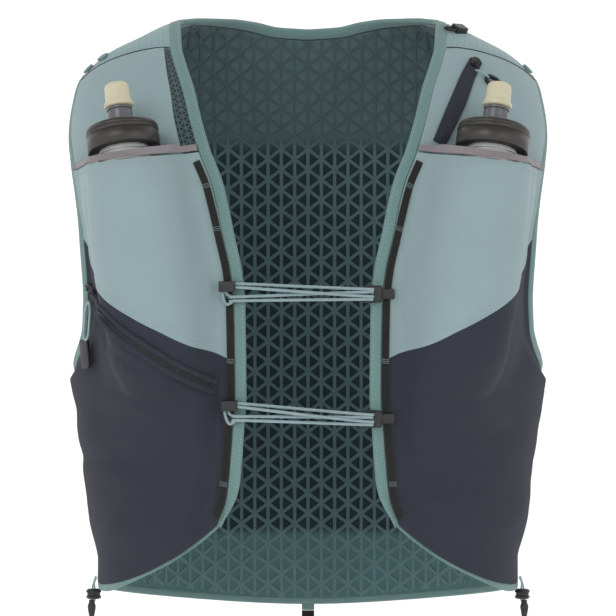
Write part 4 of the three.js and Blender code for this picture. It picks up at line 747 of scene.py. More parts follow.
# finishes; the heights between which a cloth turns to its upper or its lower colour, in metres

YOKE_FADE = (-0.075, -0.055)
HEM_FADE = (-0.343, -0.350)


@dataclass(frozen=True)
class Cloth:
    """A woven or knitted finish: its colour, how it varies, and its weave."""

    color: tuple[int, int, int]
    roughness: float = 0.85
    mottle: float = 0.1
    thread: float = 0.55
    bump: float = 0.25
    sheen: float = 0.25
    ripstop: float = 0.0
    lattice: float = 0.0
    low_color: tuple[int, int, int] | None = None
    high_color: tuple[int, int, int] | None = None


@dataclass(frozen=True)
class Plastic:
    """A moulded finish: its colour, gloss, grain and how much light passes."""

    color: tuple[int, int, int]
    roughness: float = 0.45
    grain: float = 0.1
    transmission: float = 0.0
    coat: float = 0.0


def linear(color: Sequence[int]) -> tuple[float, float, float, float]:
    """A screen colour as the shader's light values."""
    share = np.asarray(color, float) / 255
    light = np.where(share <= 0.04045, share / 12.92, ((share + 0.055) / 1.055) ** 2.4)
    return (*light.tolist(), 1.0)


def shifted(color: Sequence[int], share: float = 1.0, more: int = 0) -> tuple[float, float, float, float]:
    """A screen colour scaled and made paler, as light values."""
    return linear([min(255, part * share + more) for part in color])


class Graph:
    """A short way to write a material's nodes."""

    def __init__(self, name: str) -> None:
        """Starts an empty material with its shader and output."""
        self.material = bpy.data.materials.new(name)
        self.material.use_nodes = True
        self.tree = self.material.node_tree
        self.tree.nodes.clear()
        self.shader = self.tree.nodes.new("ShaderNodeBsdfPrincipled")
        output = self.tree.nodes.new("ShaderNodeOutputMaterial")
        self.tree.links.new(self.shader.outputs[0], output.inputs[0])

    def give(self, node: bpy.types.Node, inputs: dict) -> None:
        """Sets a node's inputs, each to a value or to another node's output."""
        for key, value in inputs.items():
            if isinstance(value, bpy.types.NodeSocket):
                self.tree.links.new(value, node.inputs[key])
            else:
                node.inputs[key].default_value = value

    def node(self, kind: str, inputs: dict | None = None, **settings: object) -> bpy.types.Node:
        """Adds a node with its inputs and settings."""
        made = self.tree.nodes.new(f"ShaderNode{kind}")
        for key, value in settings.items():
            setattr(made, key, value)
        self.give(made, inputs or {})
        return made

    def math(self, operation: str, first: object, second: object = 0.0) -> bpy.types.NodeSocket:
        """The result of one arithmetic step."""
        return self.node("Math", {0: first, 1: second}, operation=operation).outputs[0]

    def times(self, first: object, second: object) -> bpy.types.NodeSocket:
        """A product."""
        return self.math("MULTIPLY", first, second)

    def plus(self, first: object, second: object) -> bpy.types.NodeSocket:
        """A sum."""
        return self.math("ADD", first, second)

    def ridges(self, run: object, pitch: float) -> bpy.types.NodeSocket:
        """A wave between 0 and 1 that comes back at a pitch in mm."""
        return self.math("ABSOLUTE", self.math("SINE", self.times(run, math.pi / (pitch * MM))))

    def blend(self, share: object, first: object, second: object, kind: str = "MIX") -> bpy.types.NodeSocket:
        """Two colours mixed."""
        made = self.node("Mix", {0: share, 6: first, 7: second}, data_type="RGBA", blend_type=kind)
        return made.outputs[2]

    def noise(self, vector: object, scale: float, detail: float = 3.0) -> bpy.types.NodeSocket:
        """A soft random value."""
        return self.node("TexNoise", {"Vector": vector, "Scale": scale, "Detail": detail}).outputs[0]

    def ramp(self, value: object, low: float, high: float) -> bpy.types.NodeSocket:
        """A value spread from 0 to 1 between two limits."""
        limits = {0: value, 1: low, 2: high, 3: 0.0, 4: 1.0}
        return self.node("MapRange", limits, interpolation_type="SMOOTHSTEP").outputs[0]


def cloth_material(name: str, look: Cloth) -> bpy.types.Material:
    """Builds a cloth: threads both ways in its bump, mottled colour, and painted highlight that makes its high
    spots paler.
    """
    graph = Graph(name)
    place = graph.node("TexCoord").outputs["Object"]
    own = graph.node("UVMap", uv_map="cloth").outputs[0]
    parts = graph.node("SeparateXYZ", {0: own})
    turns = 2 * math.pi / (look.thread * MM)
    warp, weft = (graph.math("SINE", graph.times(parts.outputs[k], turns)) for k in (0, 1))
    weave = graph.times(warp, weft)
    broad = graph.noise(place, 24.0, 4.0)
    fine = graph.noise(place, 620.0, 2.0)
    color: object = linear(look.color)
    if look.low_color or look.high_color:
        height = graph.node("SeparateXYZ", {0: place}).outputs[2]
        if look.high_color:
            color = graph.blend(graph.ramp(height, *YOKE_FADE), color, linear(look.high_color))
        if look.low_color:
            color = graph.blend(graph.ramp(height, *HEM_FADE), color, linear(look.low_color))
    # Random mottle from the two noises, plus the weave's raised threads painted paler: painted highlight. The
    # fine noise also raises the bump, so its paler spots are partly painted highlight.
    shade = graph.plus(graph.times(broad, look.mottle), graph.times(fine, look.mottle))
    shade = graph.plus(shade, 1.0 - look.mottle)
    shade = graph.plus(shade, graph.times(weave, look.mottle * 0.5))
    bright = graph.node("CombineXYZ", {0: shade, 1: shade, 2: shade}).outputs[0]
    color = graph.blend(1.0, color, bright, "MULTIPLY")
    relief = graph.plus(graph.times(weave, 0.5), graph.times(fine, 0.7))
    if look.ripstop:
        lines = [graph.math("POWER", graph.ridges(parts.outputs[k], look.ripstop), 24.0) for k in (0, 1)]
        grid = graph.math("MAXIMUM", *lines)
        relief = graph.plus(relief, grid)
        # The ripstop grid is the cloth's own pattern, raised in the bump and painted paler: partly painted
        # highlight on the raised lines.
        color = graph.blend(graph.times(grid, 0.14), color, shifted(look.color, more=60))
    if look.lattice:
        bars = []
        for lean in (0.0, math.pi / 3, -math.pi / 3):
            run = graph.plus(graph.times(parts.outputs[0], math.cos(lean)),
                             graph.times(parts.outputs[1], math.sin(lean)))
            bars.append(graph.ramp(graph.ridges(run, look.lattice), 0.42, 0.22))
        web = graph.math("MAXIMUM", graph.math("MAXIMUM", bars[0], bars[1]), bars[2])
        # The net's holes are painted darker than its raised bars: painted shade in the holes.
        hole = graph.blend(1.0, shifted(look.color, 0.45), bright, "MULTIPLY")
        color = graph.blend(web, hole, color)
        relief = graph.plus(relief, graph.times(web, 2.5))
    bump = graph.node("Bump", {"Strength": look.bump, "Distance": 0.0004, "Height": relief})
    rough = graph.plus(graph.times(broad, 0.12), look.roughness - 0.06)
    graph.give(graph.shader, {
        "Base Color": color, "Roughness": rough, "Normal": bump.outputs[0], "Sheen Weight": look.sheen,
        "Sheen Roughness": 0.5, "Specular IOR Level": 0.25})
    return graph.material


def plastic_material(name: str, look: Plastic) -> bpy.types.Material:
    """Builds a moulded plastic: fine grain, uneven gloss, faint handling marks."""
    graph = Graph(name)
    place = graph.node("TexCoord").outputs["Object"]
    broad = graph.noise(place, 90.0, 4.0)
    fine = graph.noise(place, 2600.0, 2.0)
    marks = graph.ramp(graph.noise(place, 420.0, 6.0), 0.62, 0.78)
    color = graph.blend(graph.times(broad, 0.3), linear(look.color), shifted(look.color, 0.8))
    color = graph.blend(graph.times(marks, 0.12), color, shifted(look.color, more=50))
    bump = graph.node("Bump", {"Strength": look.grain, "Distance": 0.0003, "Height": fine})
    rough = graph.plus(graph.times(broad, 0.25), look.roughness - 0.1)
    graph.give(graph.shader, {
        "Base Color": color, "Roughness": rough, "Normal": bump.outputs[0],
        "Transmission Weight": look.transmission, "Coat Weight": look.coat})
    return graph.material


LOOKS: dict[Material, Cloth | Plastic] = {
    Material.LIGHT: Cloth((134, 154, 157), mottle=0.08, thread=0.5),
    Material.YOKE: Cloth((126, 151, 154), mottle=0.08, thread=0.5, ripstop=4.5),
    Material.DARK: Cloth((43, 47, 56), mottle=0.14, thread=0.55, sheen=0.03),
    Material.RIBS: Cloth(
        (80, 106, 108), mottle=0.12, thread=0.7, low_color=(92, 122, 122), high_color=(66, 86, 90)),
    Material.WEB: Cloth((74, 96, 99), mottle=0.1, thread=0.7, bump=0.5, lattice=4.2),
    Material.SHELL: Cloth(
        (22, 42, 46), mottle=0.15, thread=0.6, low_color=(70, 104, 104), high_color=(74, 98, 101)),
    Material.TAPE: Cloth((102, 132, 129), mottle=0.12, thread=0.8, bump=0.4),
    Material.RAIL: Cloth((25, 23, 23), mottle=0.2, thread=0.8, bump=0.4),
    Material.MOUTH: Cloth((128, 122, 125), roughness=0.6, mottle=0.2, thread=0.9, bump=0.4),
    Material.FILM: Plastic((196, 198, 198), roughness=0.22, transmission=0.25),
    Material.CAP: Plastic((34, 30, 27), roughness=0.38, grain=0.2, coat=0.15),
    Material.COLLAR: Plastic((80, 83, 89), roughness=0.3, coat=0.3),
    Material.VALVE: Plastic((196, 190, 162), roughness=0.4),
    Material.CORD: Cloth((140, 162, 166), mottle=0.3, thread=0.7, bump=0.6),
    Material.TRIM: Plastic((24, 24, 28), roughness=0.42, grain=0.2),
}
MATERIALS: dict[Material, bpy.types.Material] = {
    slot: (cloth_material if isinstance(look, Cloth) else plastic_material)(slot.value, look)
    for slot, look in LOOKS.items()
}


def settle(piece: bpy.types.Object, nodes: Iterable[str] = (), body: str = "vest") -> None:
    """Ties a finished piece to its body and the nodes it stands for, and reports it."""
    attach(piece, body)
    names = list(nodes)
    if names:
        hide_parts(*names)
    LOG.info("%s: %d faces on %s", piece.name, len(piece.data.polygons), body)


def dress(surface: Surface, name: str, slot: Material, nodes: Iterable[str] = (), body: str = "vest",
          smooth: bool = True) -> None:
    """Builds a surface as one piece in its slot's finish and settles it."""
    settle(surface.build(name, MATERIALS[slot], smooth), nodes, body)


# the vest's pieces


def front_grid(first: float, last: float, across_from: float, rows: int, columns: int) -> tuple[Array, Array]:
    """A fine grid of places on one front between two numbered lines."""
    across, line = np.meshgrid(np.linspace(across_from, 1, columns), np.linspace(first, last, rows))
    return front_place(across, line)


def layer_path(angle: Array, z: Array, layer: Layer, side: int) -> Path:
    """A path over places on a layer."""
    return Path(layer_point(angle, z, layer, side), layer_normal(angle, z, layer, side))


def seam_path(line: float, layer: Layer, side: int, inset: float, count: int = 60) -> Path:
    """A path across one front on a numbered line."""
    across = np.linspace(inset, 1 - inset, count)
    return layer_path(*front_place(across, np.full(count, line)), layer, side)


def chain(*parts: tuple[Array, Array]) -> tuple[Array, Array]:
    """Places of several parts joined end to end, without doubles."""
    angle = np.concatenate([part[0] for part in parts])
    z = np.concatenate([part[1] for part in parts])
    apart = np.linalg.norm(np.diff(body_point(angle, z), axis=0), axis=-1) > 0.2
    keep = np.concatenate([[True], apart])
    return angle[keep], z[keep]


def both_sides(angle: Array, z: Array) -> tuple[Array, Array]:
    """Places on the right carried on through the middle to the left."""
    return np.concatenate([angle, 360 - angle[-2::-1]]), np.concatenate([z, z[-2::-1]])


def place_path(angle: Array, z: Array, lift: float, side: int, spacing: float, closed: bool = False) -> Path:
    """A path of even stations over places on the body, its directions blended between them."""
    points = off_body(angle, z, np.full(angle.shape, lift)) * np.array([side, 1, 1])
    normal = body_normal(angle, z) * np.array([side, 1, 1])
    if closed:
        points, normal = np.vstack([points, points[:1]]), np.vstack([normal, normal[:1]])
    gone = way_along(points, 0)
    count = max(8, int(gone[-1] / spacing))
    at = np.linspace(0, gone[-1], count, endpoint=not closed)
    return Path(read_along(at, gone, points), unit(read_along(at, gone, normal)), closed)


@dataclass
class Panels:
    """One front's cloth: mesh, chest panel, yoke, pockets and mouth band."""

    side: int
    name: str
    seam_gap: float = 0.03
    wrinkle: float = 0.35
    mouth_ease: float = 1.5
    columns: int = 80
    band_width: float = 9.2
    band_lift: float = 1.3

    def puckers(self, height: float) -> Layer:
        """A level layer with faint slack folds."""
        def layer(angle: Array, z: Array) -> Array:
            """The height with two crossing slow waves."""
            x = body_point(angle, z)[..., 0]
            wave = np.sin(x / 11 + z / 17) * np.sin(z / 23 - x / 29 + self.side)
            return height + self.wrinkle * wave
        return layer

    def mesh(self) -> None:
        """The ribbed mesh that backs the whole front."""
        angle, z = front_grid(SEAM + self.seam_gap, HEM, 0, 120, 48)
        surface = sheet_surface(angle, z, flat(0), flat(MESH_WALL), self.side)
        piece = surface.build(f"front_mesh_{self.name}_cloth", MATERIALS[Material.WEB])
        settle(piece, [f"front_mesh_{self.name}"])

    def chest(self) -> None:
        """The light panel between the yoke and the pocket's mouth."""
        first = 0.1 if self.side < 0 else 0.0
        angle, z = front_grid(SEAM + self.seam_gap, MOUTH + 2, first, 60, 60)
        surface = sheet_surface(angle, z, flat(PANEL_LOW), self.puckers(PANEL_HIGH), self.side)
        dress(surface, f"chest_panel_{self.name}_cloth", Material.LIGHT, [f"chest_panel_{self.name}"])

    def yoke(self) -> None:
        """The ripstop piece over the shoulder."""
        across = np.linspace(0, 1, 50)
        parts = [front_place(across, np.full(50, line)) for line in np.linspace(SEAM - self.seam_gap, 0, 22)]
        parts += [yoke_place(across, np.full(50, back)) for back in np.linspace(0.06, 1 - self.seam_gap, 18)]
        angle, z = np.stack([part[0] for part in parts]), np.stack([part[1] for part in parts])
        surface = sheet_surface(angle, z, flat(0), self.puckers(YOKE_WALL), -self.side)
        surface.corners = [corner * np.array([-1, 1, 1]) for corner in surface.corners]
        dress(surface, f"shoulder_yoke_{self.name}_cloth", Material.YOKE, [f"shoulder_yoke_{self.name}"])

    def level_mouth(self, points: Array, pocket: Pocket, across: Array, fade: Array) -> None:
        """Moves the corners near the pocket's mouth so that it lies on one straight line.

        Each column moves up or down by the gap between its own height at the mouth and the line
        between the mouth's two ends, and forward a little in the middle, to clear the flask.

        Args:
            points: Corners, changed in place, rows by columns by 3, in one or more layers.
            pocket: The pocket whose mouth it is.
            across: The columns' shares from the opening to the armhole.
            fade: How much of the move each row takes.
        """
        angle, z = front_place(across, np.full(across.shape, float(MOUTH)))
        top = layer_point(angle, z, pocket.high, 1)
        share = (top[:, 0] - top[0, 0]) / (top[-1, 0] - top[0, 0])
        rise = mix(top[0, 2], top[-1, 2], np.clip(share, 0, 1)) - top[:, 2]
        points[..., 2] += fade[:, None] * rise
        points[..., 1] -= fade[:, None] * self.mouth_ease * np.sin(np.pi * across)

    def pockets(self, pocket: Pocket) -> None:
        """The light flask pocket, the dark lower pocket and the elastic band at the mouth."""
        parts = (
            ("flask_pocket", MOUTH + self.seam_gap, COLOUR + 0.08, Material.LIGHT, 70, 0.0),
            ("lower_pocket", COLOUR + self.seam_gap, HEM, Material.DARK, 120, 0.25),
        )
        for label, first, last, slot, rows, sink in parts:
            angle, z = front_grid(first, last, 0, rows, self.columns)
            surface = sheet_surface(angle, z, lifted(pocket.low, -sink), lifted(pocket.high, -sink), self.side)
            if first < COLOUR:
                fade = 1 - ease(MOUTH, mix(MOUTH, COLOUR, 0.55), np.linspace(first, last, rows))
                corners = surface.corners[0].reshape(2, rows, self.columns, 3)
                self.level_mouth(corners, pocket, np.linspace(0, 1, self.columns), fade)
            dress(surface, f"{label}_{self.name}_cloth", slot, [f"{label}_{self.name}"])
        rows, columns = 9, 100
        reach = self.band_width / (VEST_HEIGHT * (FRONT_LINES["mouth"][1] - FRONT_LINES["chest"][1]))
        angle, z = front_grid(MOUTH - reach, MOUTH - self.seam_gap, 0, rows, columns)

        def ribs(a: Array, h: Array) -> Array:
            """The band's outer face, with its upright ribs."""
            return pocket.high(a, h) + self.band_lift + 0.25 * np.sin(a * 9)

        surface = sheet_surface(angle, z, lifted(pocket.low, self.band_lift), ribs, self.side)
        corners = surface.corners[0].reshape(2, rows, columns, 3)
        self.level_mouth(corners, pocket, np.linspace(0, 1, columns), np.ones(rows))
        dress(surface, f"pocket_mouth_{self.name}_band", Material.MOUTH, [f"pocket_mouth_{self.name}"])

    def seams(self, pocket: Pocket) -> None:
        """Stitches along the two-colour seam, the pocket's top edge and the yoke's seam."""
        light, dark = Surface(), Surface()
        thread = (2.2, 3.0, 0.28)
        for line in (COLOUR - 0.16, COLOUR - 0.34):
            path = seam_path(line, pocket.high, self.side, 0.04)
            stitches(path.points, path.up, *thread, light)
        inset = 0.03
        path = seam_path(MOUTH + 0.3, pocket.high, self.side, inset)
        across = np.linspace(inset, 1 - inset, len(path.points))
        self.level_mouth(path.points[None], pocket, across, np.ones(1))
        stitches(path.points, path.up, *thread, light)
        for line in (SEAM - 0.22, SEAM - 0.5):
            path = seam_path(line, self.puckers(YOKE_WALL), self.side, 0.05)
            stitches(path.points, path.up, *thread, light)
        if self.side < 0:
            for off in (-0.0105, 0.0105):
                angle, z = place_seen(ZIP_PATH[:, 0], ZIP_PATH[:, 1] + off, pocket.high)
                line = spline(layer_point(angle, z, pocket.high, self.side), 120)
                out = spline(layer_normal(angle, z, pocket.high, self.side), 120)
                stitches(line, out, 2.2, 3.0, 0.26, dark)
            dress(dark, "zip_stitches", Material.DARK, smooth=False)
        path = seam_path(SEAM, flat(PANEL_HIGH + 0.2), self.side, 0.02, 90)
        dress(sweep(path, circle(0.3, 8)), f"shoulder_seam_{self.name}", Material.RAIL)
        dress(light, f"seam_stitches_{self.name}", Material.CORD, smooth=False)


@dataclass
class Back:
    """The ribbed inner mesh of the back and the shell outside it."""

    rib_pitch: float = 9.7
    node_rise: float = 14.7
    rib_half_width: float = 1.15
    rib_height: float = 0.8
    margin: float = 0.8
    fullness: float = 8.0
    seam_levels: tuple[float, float] = (0.33, 0.74)
    shoulder_drop: float = 0.13
    shoulder_angles: tuple[float, float] = (102.4, 100.4)
    side_angle: float = 90.4

    def cloth(self) -> None:
        """The mesh's ground and the outer shell."""
        across, line = np.meshgrid(np.linspace(-1, 1, 120), np.linspace(0.03, BACK_HEM, 110))
        angle, z = back_place(across, line)
        ground = sheet_surface(angle, z, flat(0), flat(MESH_WALL), 1)
        dress(ground, "back_mesh_ground", Material.SHELL, ["back_mesh"])

        def low(a: Array, h: Array) -> Array:
            """The shell's inner face, swelling away from the mesh between its seams."""
            drop = drop_of(h)
            middle = np.sin(np.radians(np.abs(180 - a)))
            swell = ease(0.06, 0.3, drop) * ease(0, 0.25, 1 - drop) * (1 - middle ** 4)
            x = body_point(a, h)[..., 0]
            slack = 0.7 * np.sin(x / 15 + h / 31) * np.sin(h / 19 - x / 41) * swell
            seam = sum(1.6 * np.exp(-((drop - level) / 0.008) ** 2) for level in self.seam_levels)
            return MESH_WALL + CLEARANCE + np.maximum(self.fullness * swell + slack - seam * swell, 0)

        high = lifted(low, SHELL_WALL)
        dress(sheet_surface(angle, z, low, high, 1), "back_shell_cloth", Material.DARK, ["back_shell"])
        thread = Surface()
        turn = np.linspace(112, 248, 160)
        for level in self.seam_levels:
            for beside in (-0.005, 0.005):
                path = layer_path(turn, np.full(160, height_of(level + beside)), high, 1)
                stitches(path.points, path.up, 2.4, 3.2, 0.3, thread)
        dress(thread, "back_stitches", Material.CORD, smooth=False)

    def inside(self, angle: Array, z: Array) -> Array:
        """Whether places lie inside the back's own outline."""
        drop = drop_of(z)
        turn = np.where(angle > 180, 360 - angle, angle)
        share = np.clip((180 - turn) / 78, 0, 1)
        inset = self.margin / VEST_HEIGHT
        top = neck_drop(np.clip(turn, 100, 180)) + inset
        low = mix(BACK_LINES["hem"][2], BACK_LINES["hem"][1], share ** 2) - inset
        shoulder = mix(*self.shoulder_angles, (drop - 0.0105) / 0.12)
        beside = armhole_back(np.clip(drop, 0.1, ARMHOLE_LOW)) + 0.4
        side = np.where(drop < ARMHOLE_LOW, beside, self.side_angle)
        edge = np.where(drop < self.shoulder_drop, shoulder, side)
        return (drop > top) & (drop < low) & (turn > edge)

    def lattice(self) -> None:
        """The raised diamond ribs on the side towards the wearer.

        Nodes stand in upright columns one pitch apart, every second column half a rise higher. Each
        node is joined to the one above and to its two neighbours, and joints that cross the outline
        are cut there by halving.
        """
        columns = np.arange(-24, 25)
        rows = np.arange(-1, 31)
        col, row = np.meshgrid(columns, rows, indexing="ij")
        z = height_of(0.0) - (row + 0.5 * (col % 2)) * self.node_rise
        angle = self.angle_at(col * self.rib_pitch, z)
        joints = []
        for shift_col, shift_row in ((0, 1), (1, 0), (1, None)):
            if shift_row is None:
                low_row = row + np.where(col % 2 == 0, -1, 1)
            else:
                low_row = row + shift_row
            mate_col = col + shift_col
            good = (mate_col <= columns[-1]) & (low_row >= rows[0]) & (low_row <= rows[-1])
            here = np.stack([col[good], row[good]], -1)
            there = np.stack([mate_col[good], low_row[good]], -1)
            joints.append(np.stack([here, there], 1))
        joint = np.concatenate(joints) - np.array([columns[0], rows[0]])
        ends = [(angle[joint[:, k, 0], joint[:, k, 1]], z[joint[:, k, 0], joint[:, k, 1]]) for k in (0, 1)]
        first, last = (np.stack(end, -1) for end in ends)
        kept = [self.inside(end[:, 0], end[:, 1]) for end in (first, last)]
        some = kept[0] | kept[1]
        first, last = first[some], last[some]
        in_first, in_last = kept[0][some], kept[1][some]
        for anchor, moving, cut in ((first, last, ~in_last), (last, first, ~in_first)):
            low, high = np.zeros(len(anchor)), np.ones(len(anchor))
            for _ in range(9):
                half = (low + high) / 2
                test = anchor + (moving - anchor) * half[:, None]
                good = self.inside(test[:, 0], test[:, 1])
                low, high = np.where(good, half, low), np.where(good, high, half)
            moving[cut] = (anchor + (moving - anchor) * low[:, None])[cut]
        self.bars(first, last)

    def angle_at(self, reach: Array, z: Array) -> Array:
        """The angle whose way round the back from its middle is a given length at each height."""
        result = np.empty(reach.shape)
        turn = np.linspace(180, 90, 181)
        for level in np.unique(np.round(z, 4)):
            gone = way_along(body_point(turn, np.full(turn.shape, level)), 0)
            same = np.abs(z - level) < 1e-3
            round_way = np.interp(np.abs(reach[same]), gone, turn)
            over = np.abs(reach[same]) > gone[-1]
            round_way = np.where(over, 89.0, round_way)
            result[same] = np.where(reach[same] < 0, 360 - round_way, round_way)
        return result

    def bars(self, first: Array, last: Array) -> None:
        """Closed bars with bevelled tops between pairs of places, as one object."""
        points = [off_body(end[:, 0], end[:, 1], np.full(len(end), 0.05)) for end in (first, last)]
        length = np.linalg.norm(points[1] - points[0], axis=-1)
        keep = length > 1.0
        start, end = points[0][keep], points[1][keep]
        inward = -unit(body_normal(*np.moveaxis((first[keep] + last[keep]) / 2, -1, 0)))
        ahead = unit(end - start)
        aside = unit(np.cross(inward, ahead))
        shape = np.array([(-1, 0), (-0.8, 1), (-0.3, 1), (0, 0.45), (0.3, 1), (0.8, 1), (1, 0)])
        k = len(shape)
        corners = []
        for place, push in ((start, -0.5), (end, 0.5)):
            for wide, high in shape:
                corners.append(place + ahead * push + aside * wide * self.rib_half_width
                               + inward * high * self.rib_height)
        corner = np.stack(corners, 1)
        first_end = np.arange(k)
        after = (first_end + 1) % k
        quads = np.stack([first_end, first_end + k, after + k, after], -1)
        bar = 2 * k * np.arange(len(corner))[:, None]
        surface = Surface()
        surface.caps += (bar + first_end).tolist() + (bar + k + first_end[::-1]).tolist()
        surface.add(corner, repeated(quads, 2 * k, len(corner))[:, ::-1], corner[..., [0, 2]])
        dress(surface, "back_mesh_ribs", Material.RIBS, smooth=False)


@dataclass
class Tapes:
    """Bindings round the front opening, the armholes and the hem, with their stitches."""

    front_width: float = 7.5
    front_thickness: float = 3.2
    arm_width: float = 6.0
    hem_width: float = 4.6
    hem_thickness: float = 2.6
    spacing: float = 3.0
    overlap: float = 0.25
    narrow: float = 0.42
    rounding: float = 1.2
    front_taper: float = 32.0
    hem_taper: tuple[float, float] = (-80.0, -40.0)
    thread: tuple[float, float, float] = (1.9, 2.7, 0.24)

    def neck_chain(self, count: int) -> tuple[Array, Array]:
        """Places of the back's top edge from the shoulder to the middle."""
        return back_place(np.linspace(0.6, 0, count), np.zeros(count))

    def strip(self, name: str, path: Path, section: Array, nodes: Sequence[str], rows: Sequence[float],
              top: float, grow: Array | None = None) -> None:
        """One binding with stitch rows at given distances across it."""
        grow = np.ones(len(path.points)) if grow is None else grow
        dress(sweep(path, section, grow), f"{name}_tape", Material.TAPE, nodes)
        thread = Surface()
        across = path.across()
        for row in rows:
            line, up = path.points + (across * row + path.up * top) * grow[:, None], path.up
            if path.closed:
                line, up = np.vstack([line, line[:1]]), np.vstack([up, up[:1]])
            stitches(line, up, *self.thread, thread)
        dress(thread, f"{name}_stitches", Material.CORD, smooth=False)

    def front(self) -> None:
        """The tape up both fronts and round the neck, in one length."""
        line = np.linspace(HEM, 0, 160)
        edge = front_place(np.zeros(160), line)
        back = np.linspace(0, 1, 12)[1:]
        right = chain(edge, yoke_place(np.zeros(11), back), self.neck_chain(60))
        path = place_path(*both_sides(*right), 0, 1, self.spacing)
        low, high = -self.overlap, CLEARANCE + self.front_width
        section = rounded_bar(low, high, -0.1, self.front_thickness, self.rounding)
        gone = path.length()
        grow = mix(self.narrow, 1.0, ease(0, self.front_taper, np.minimum(gone, gone[-1] - gone)))
        self.strip("front_binding", path, section, ["front_binding"], (low + 1.4, high - 1.5),
                   self.front_thickness - 0.05, grow)

    def armhole(self, side: int, name: str) -> None:
        """The tape round one armhole."""
        line = np.linspace(ARMPIT, 0, 110)
        edge = front_place(np.ones(110), line)
        back = np.linspace(0, 1, 12)[1:]
        behind = back_place(np.ones(90), np.linspace(0, BACK_ARMPIT, 90))
        angle, z = chain(edge, yoke_place(np.ones(11), back), behind)
        path = place_path(angle[:-1], z[:-1], 0, side, self.spacing, True)
        low, high = -CLEARANCE - self.arm_width, self.overlap
        section = rounded_bar(low, high, -0.1, self.front_thickness, self.rounding)
        if side < 0:
            section = (section * np.array([-1, 1]))[::-1]
        rows = tuple(side * value for value in (high - 1.2, low + 1.4))
        self.strip(f"armhole_binding_{name}", path, section, [f"armhole_binding_{name}"], rows,
                   self.front_thickness - 0.05)

    def hem(self) -> None:
        """The narrow tape along the whole hem."""
        front = front_place(np.linspace(0, 1, 90), np.full(90, float(HEM)))
        back = back_place(np.linspace(1, 0, 90), np.full(90, float(BACK_HEM)))
        path = place_path(*both_sides(*chain(front, back)), 0, 1, self.spacing)
        low, high = -CLEARANCE - self.hem_width, self.overlap
        section = rounded_bar(low, high, -0.1, self.hem_thickness, 1.0)
        grow = mix(self.narrow, 1.0, ease(*self.hem_taper, path.points[:, 1]))
        self.strip("hem_binding", path, section, ["hem_binding"], ((low + high) / 2,),
                   self.hem_thickness - 0.05, grow)


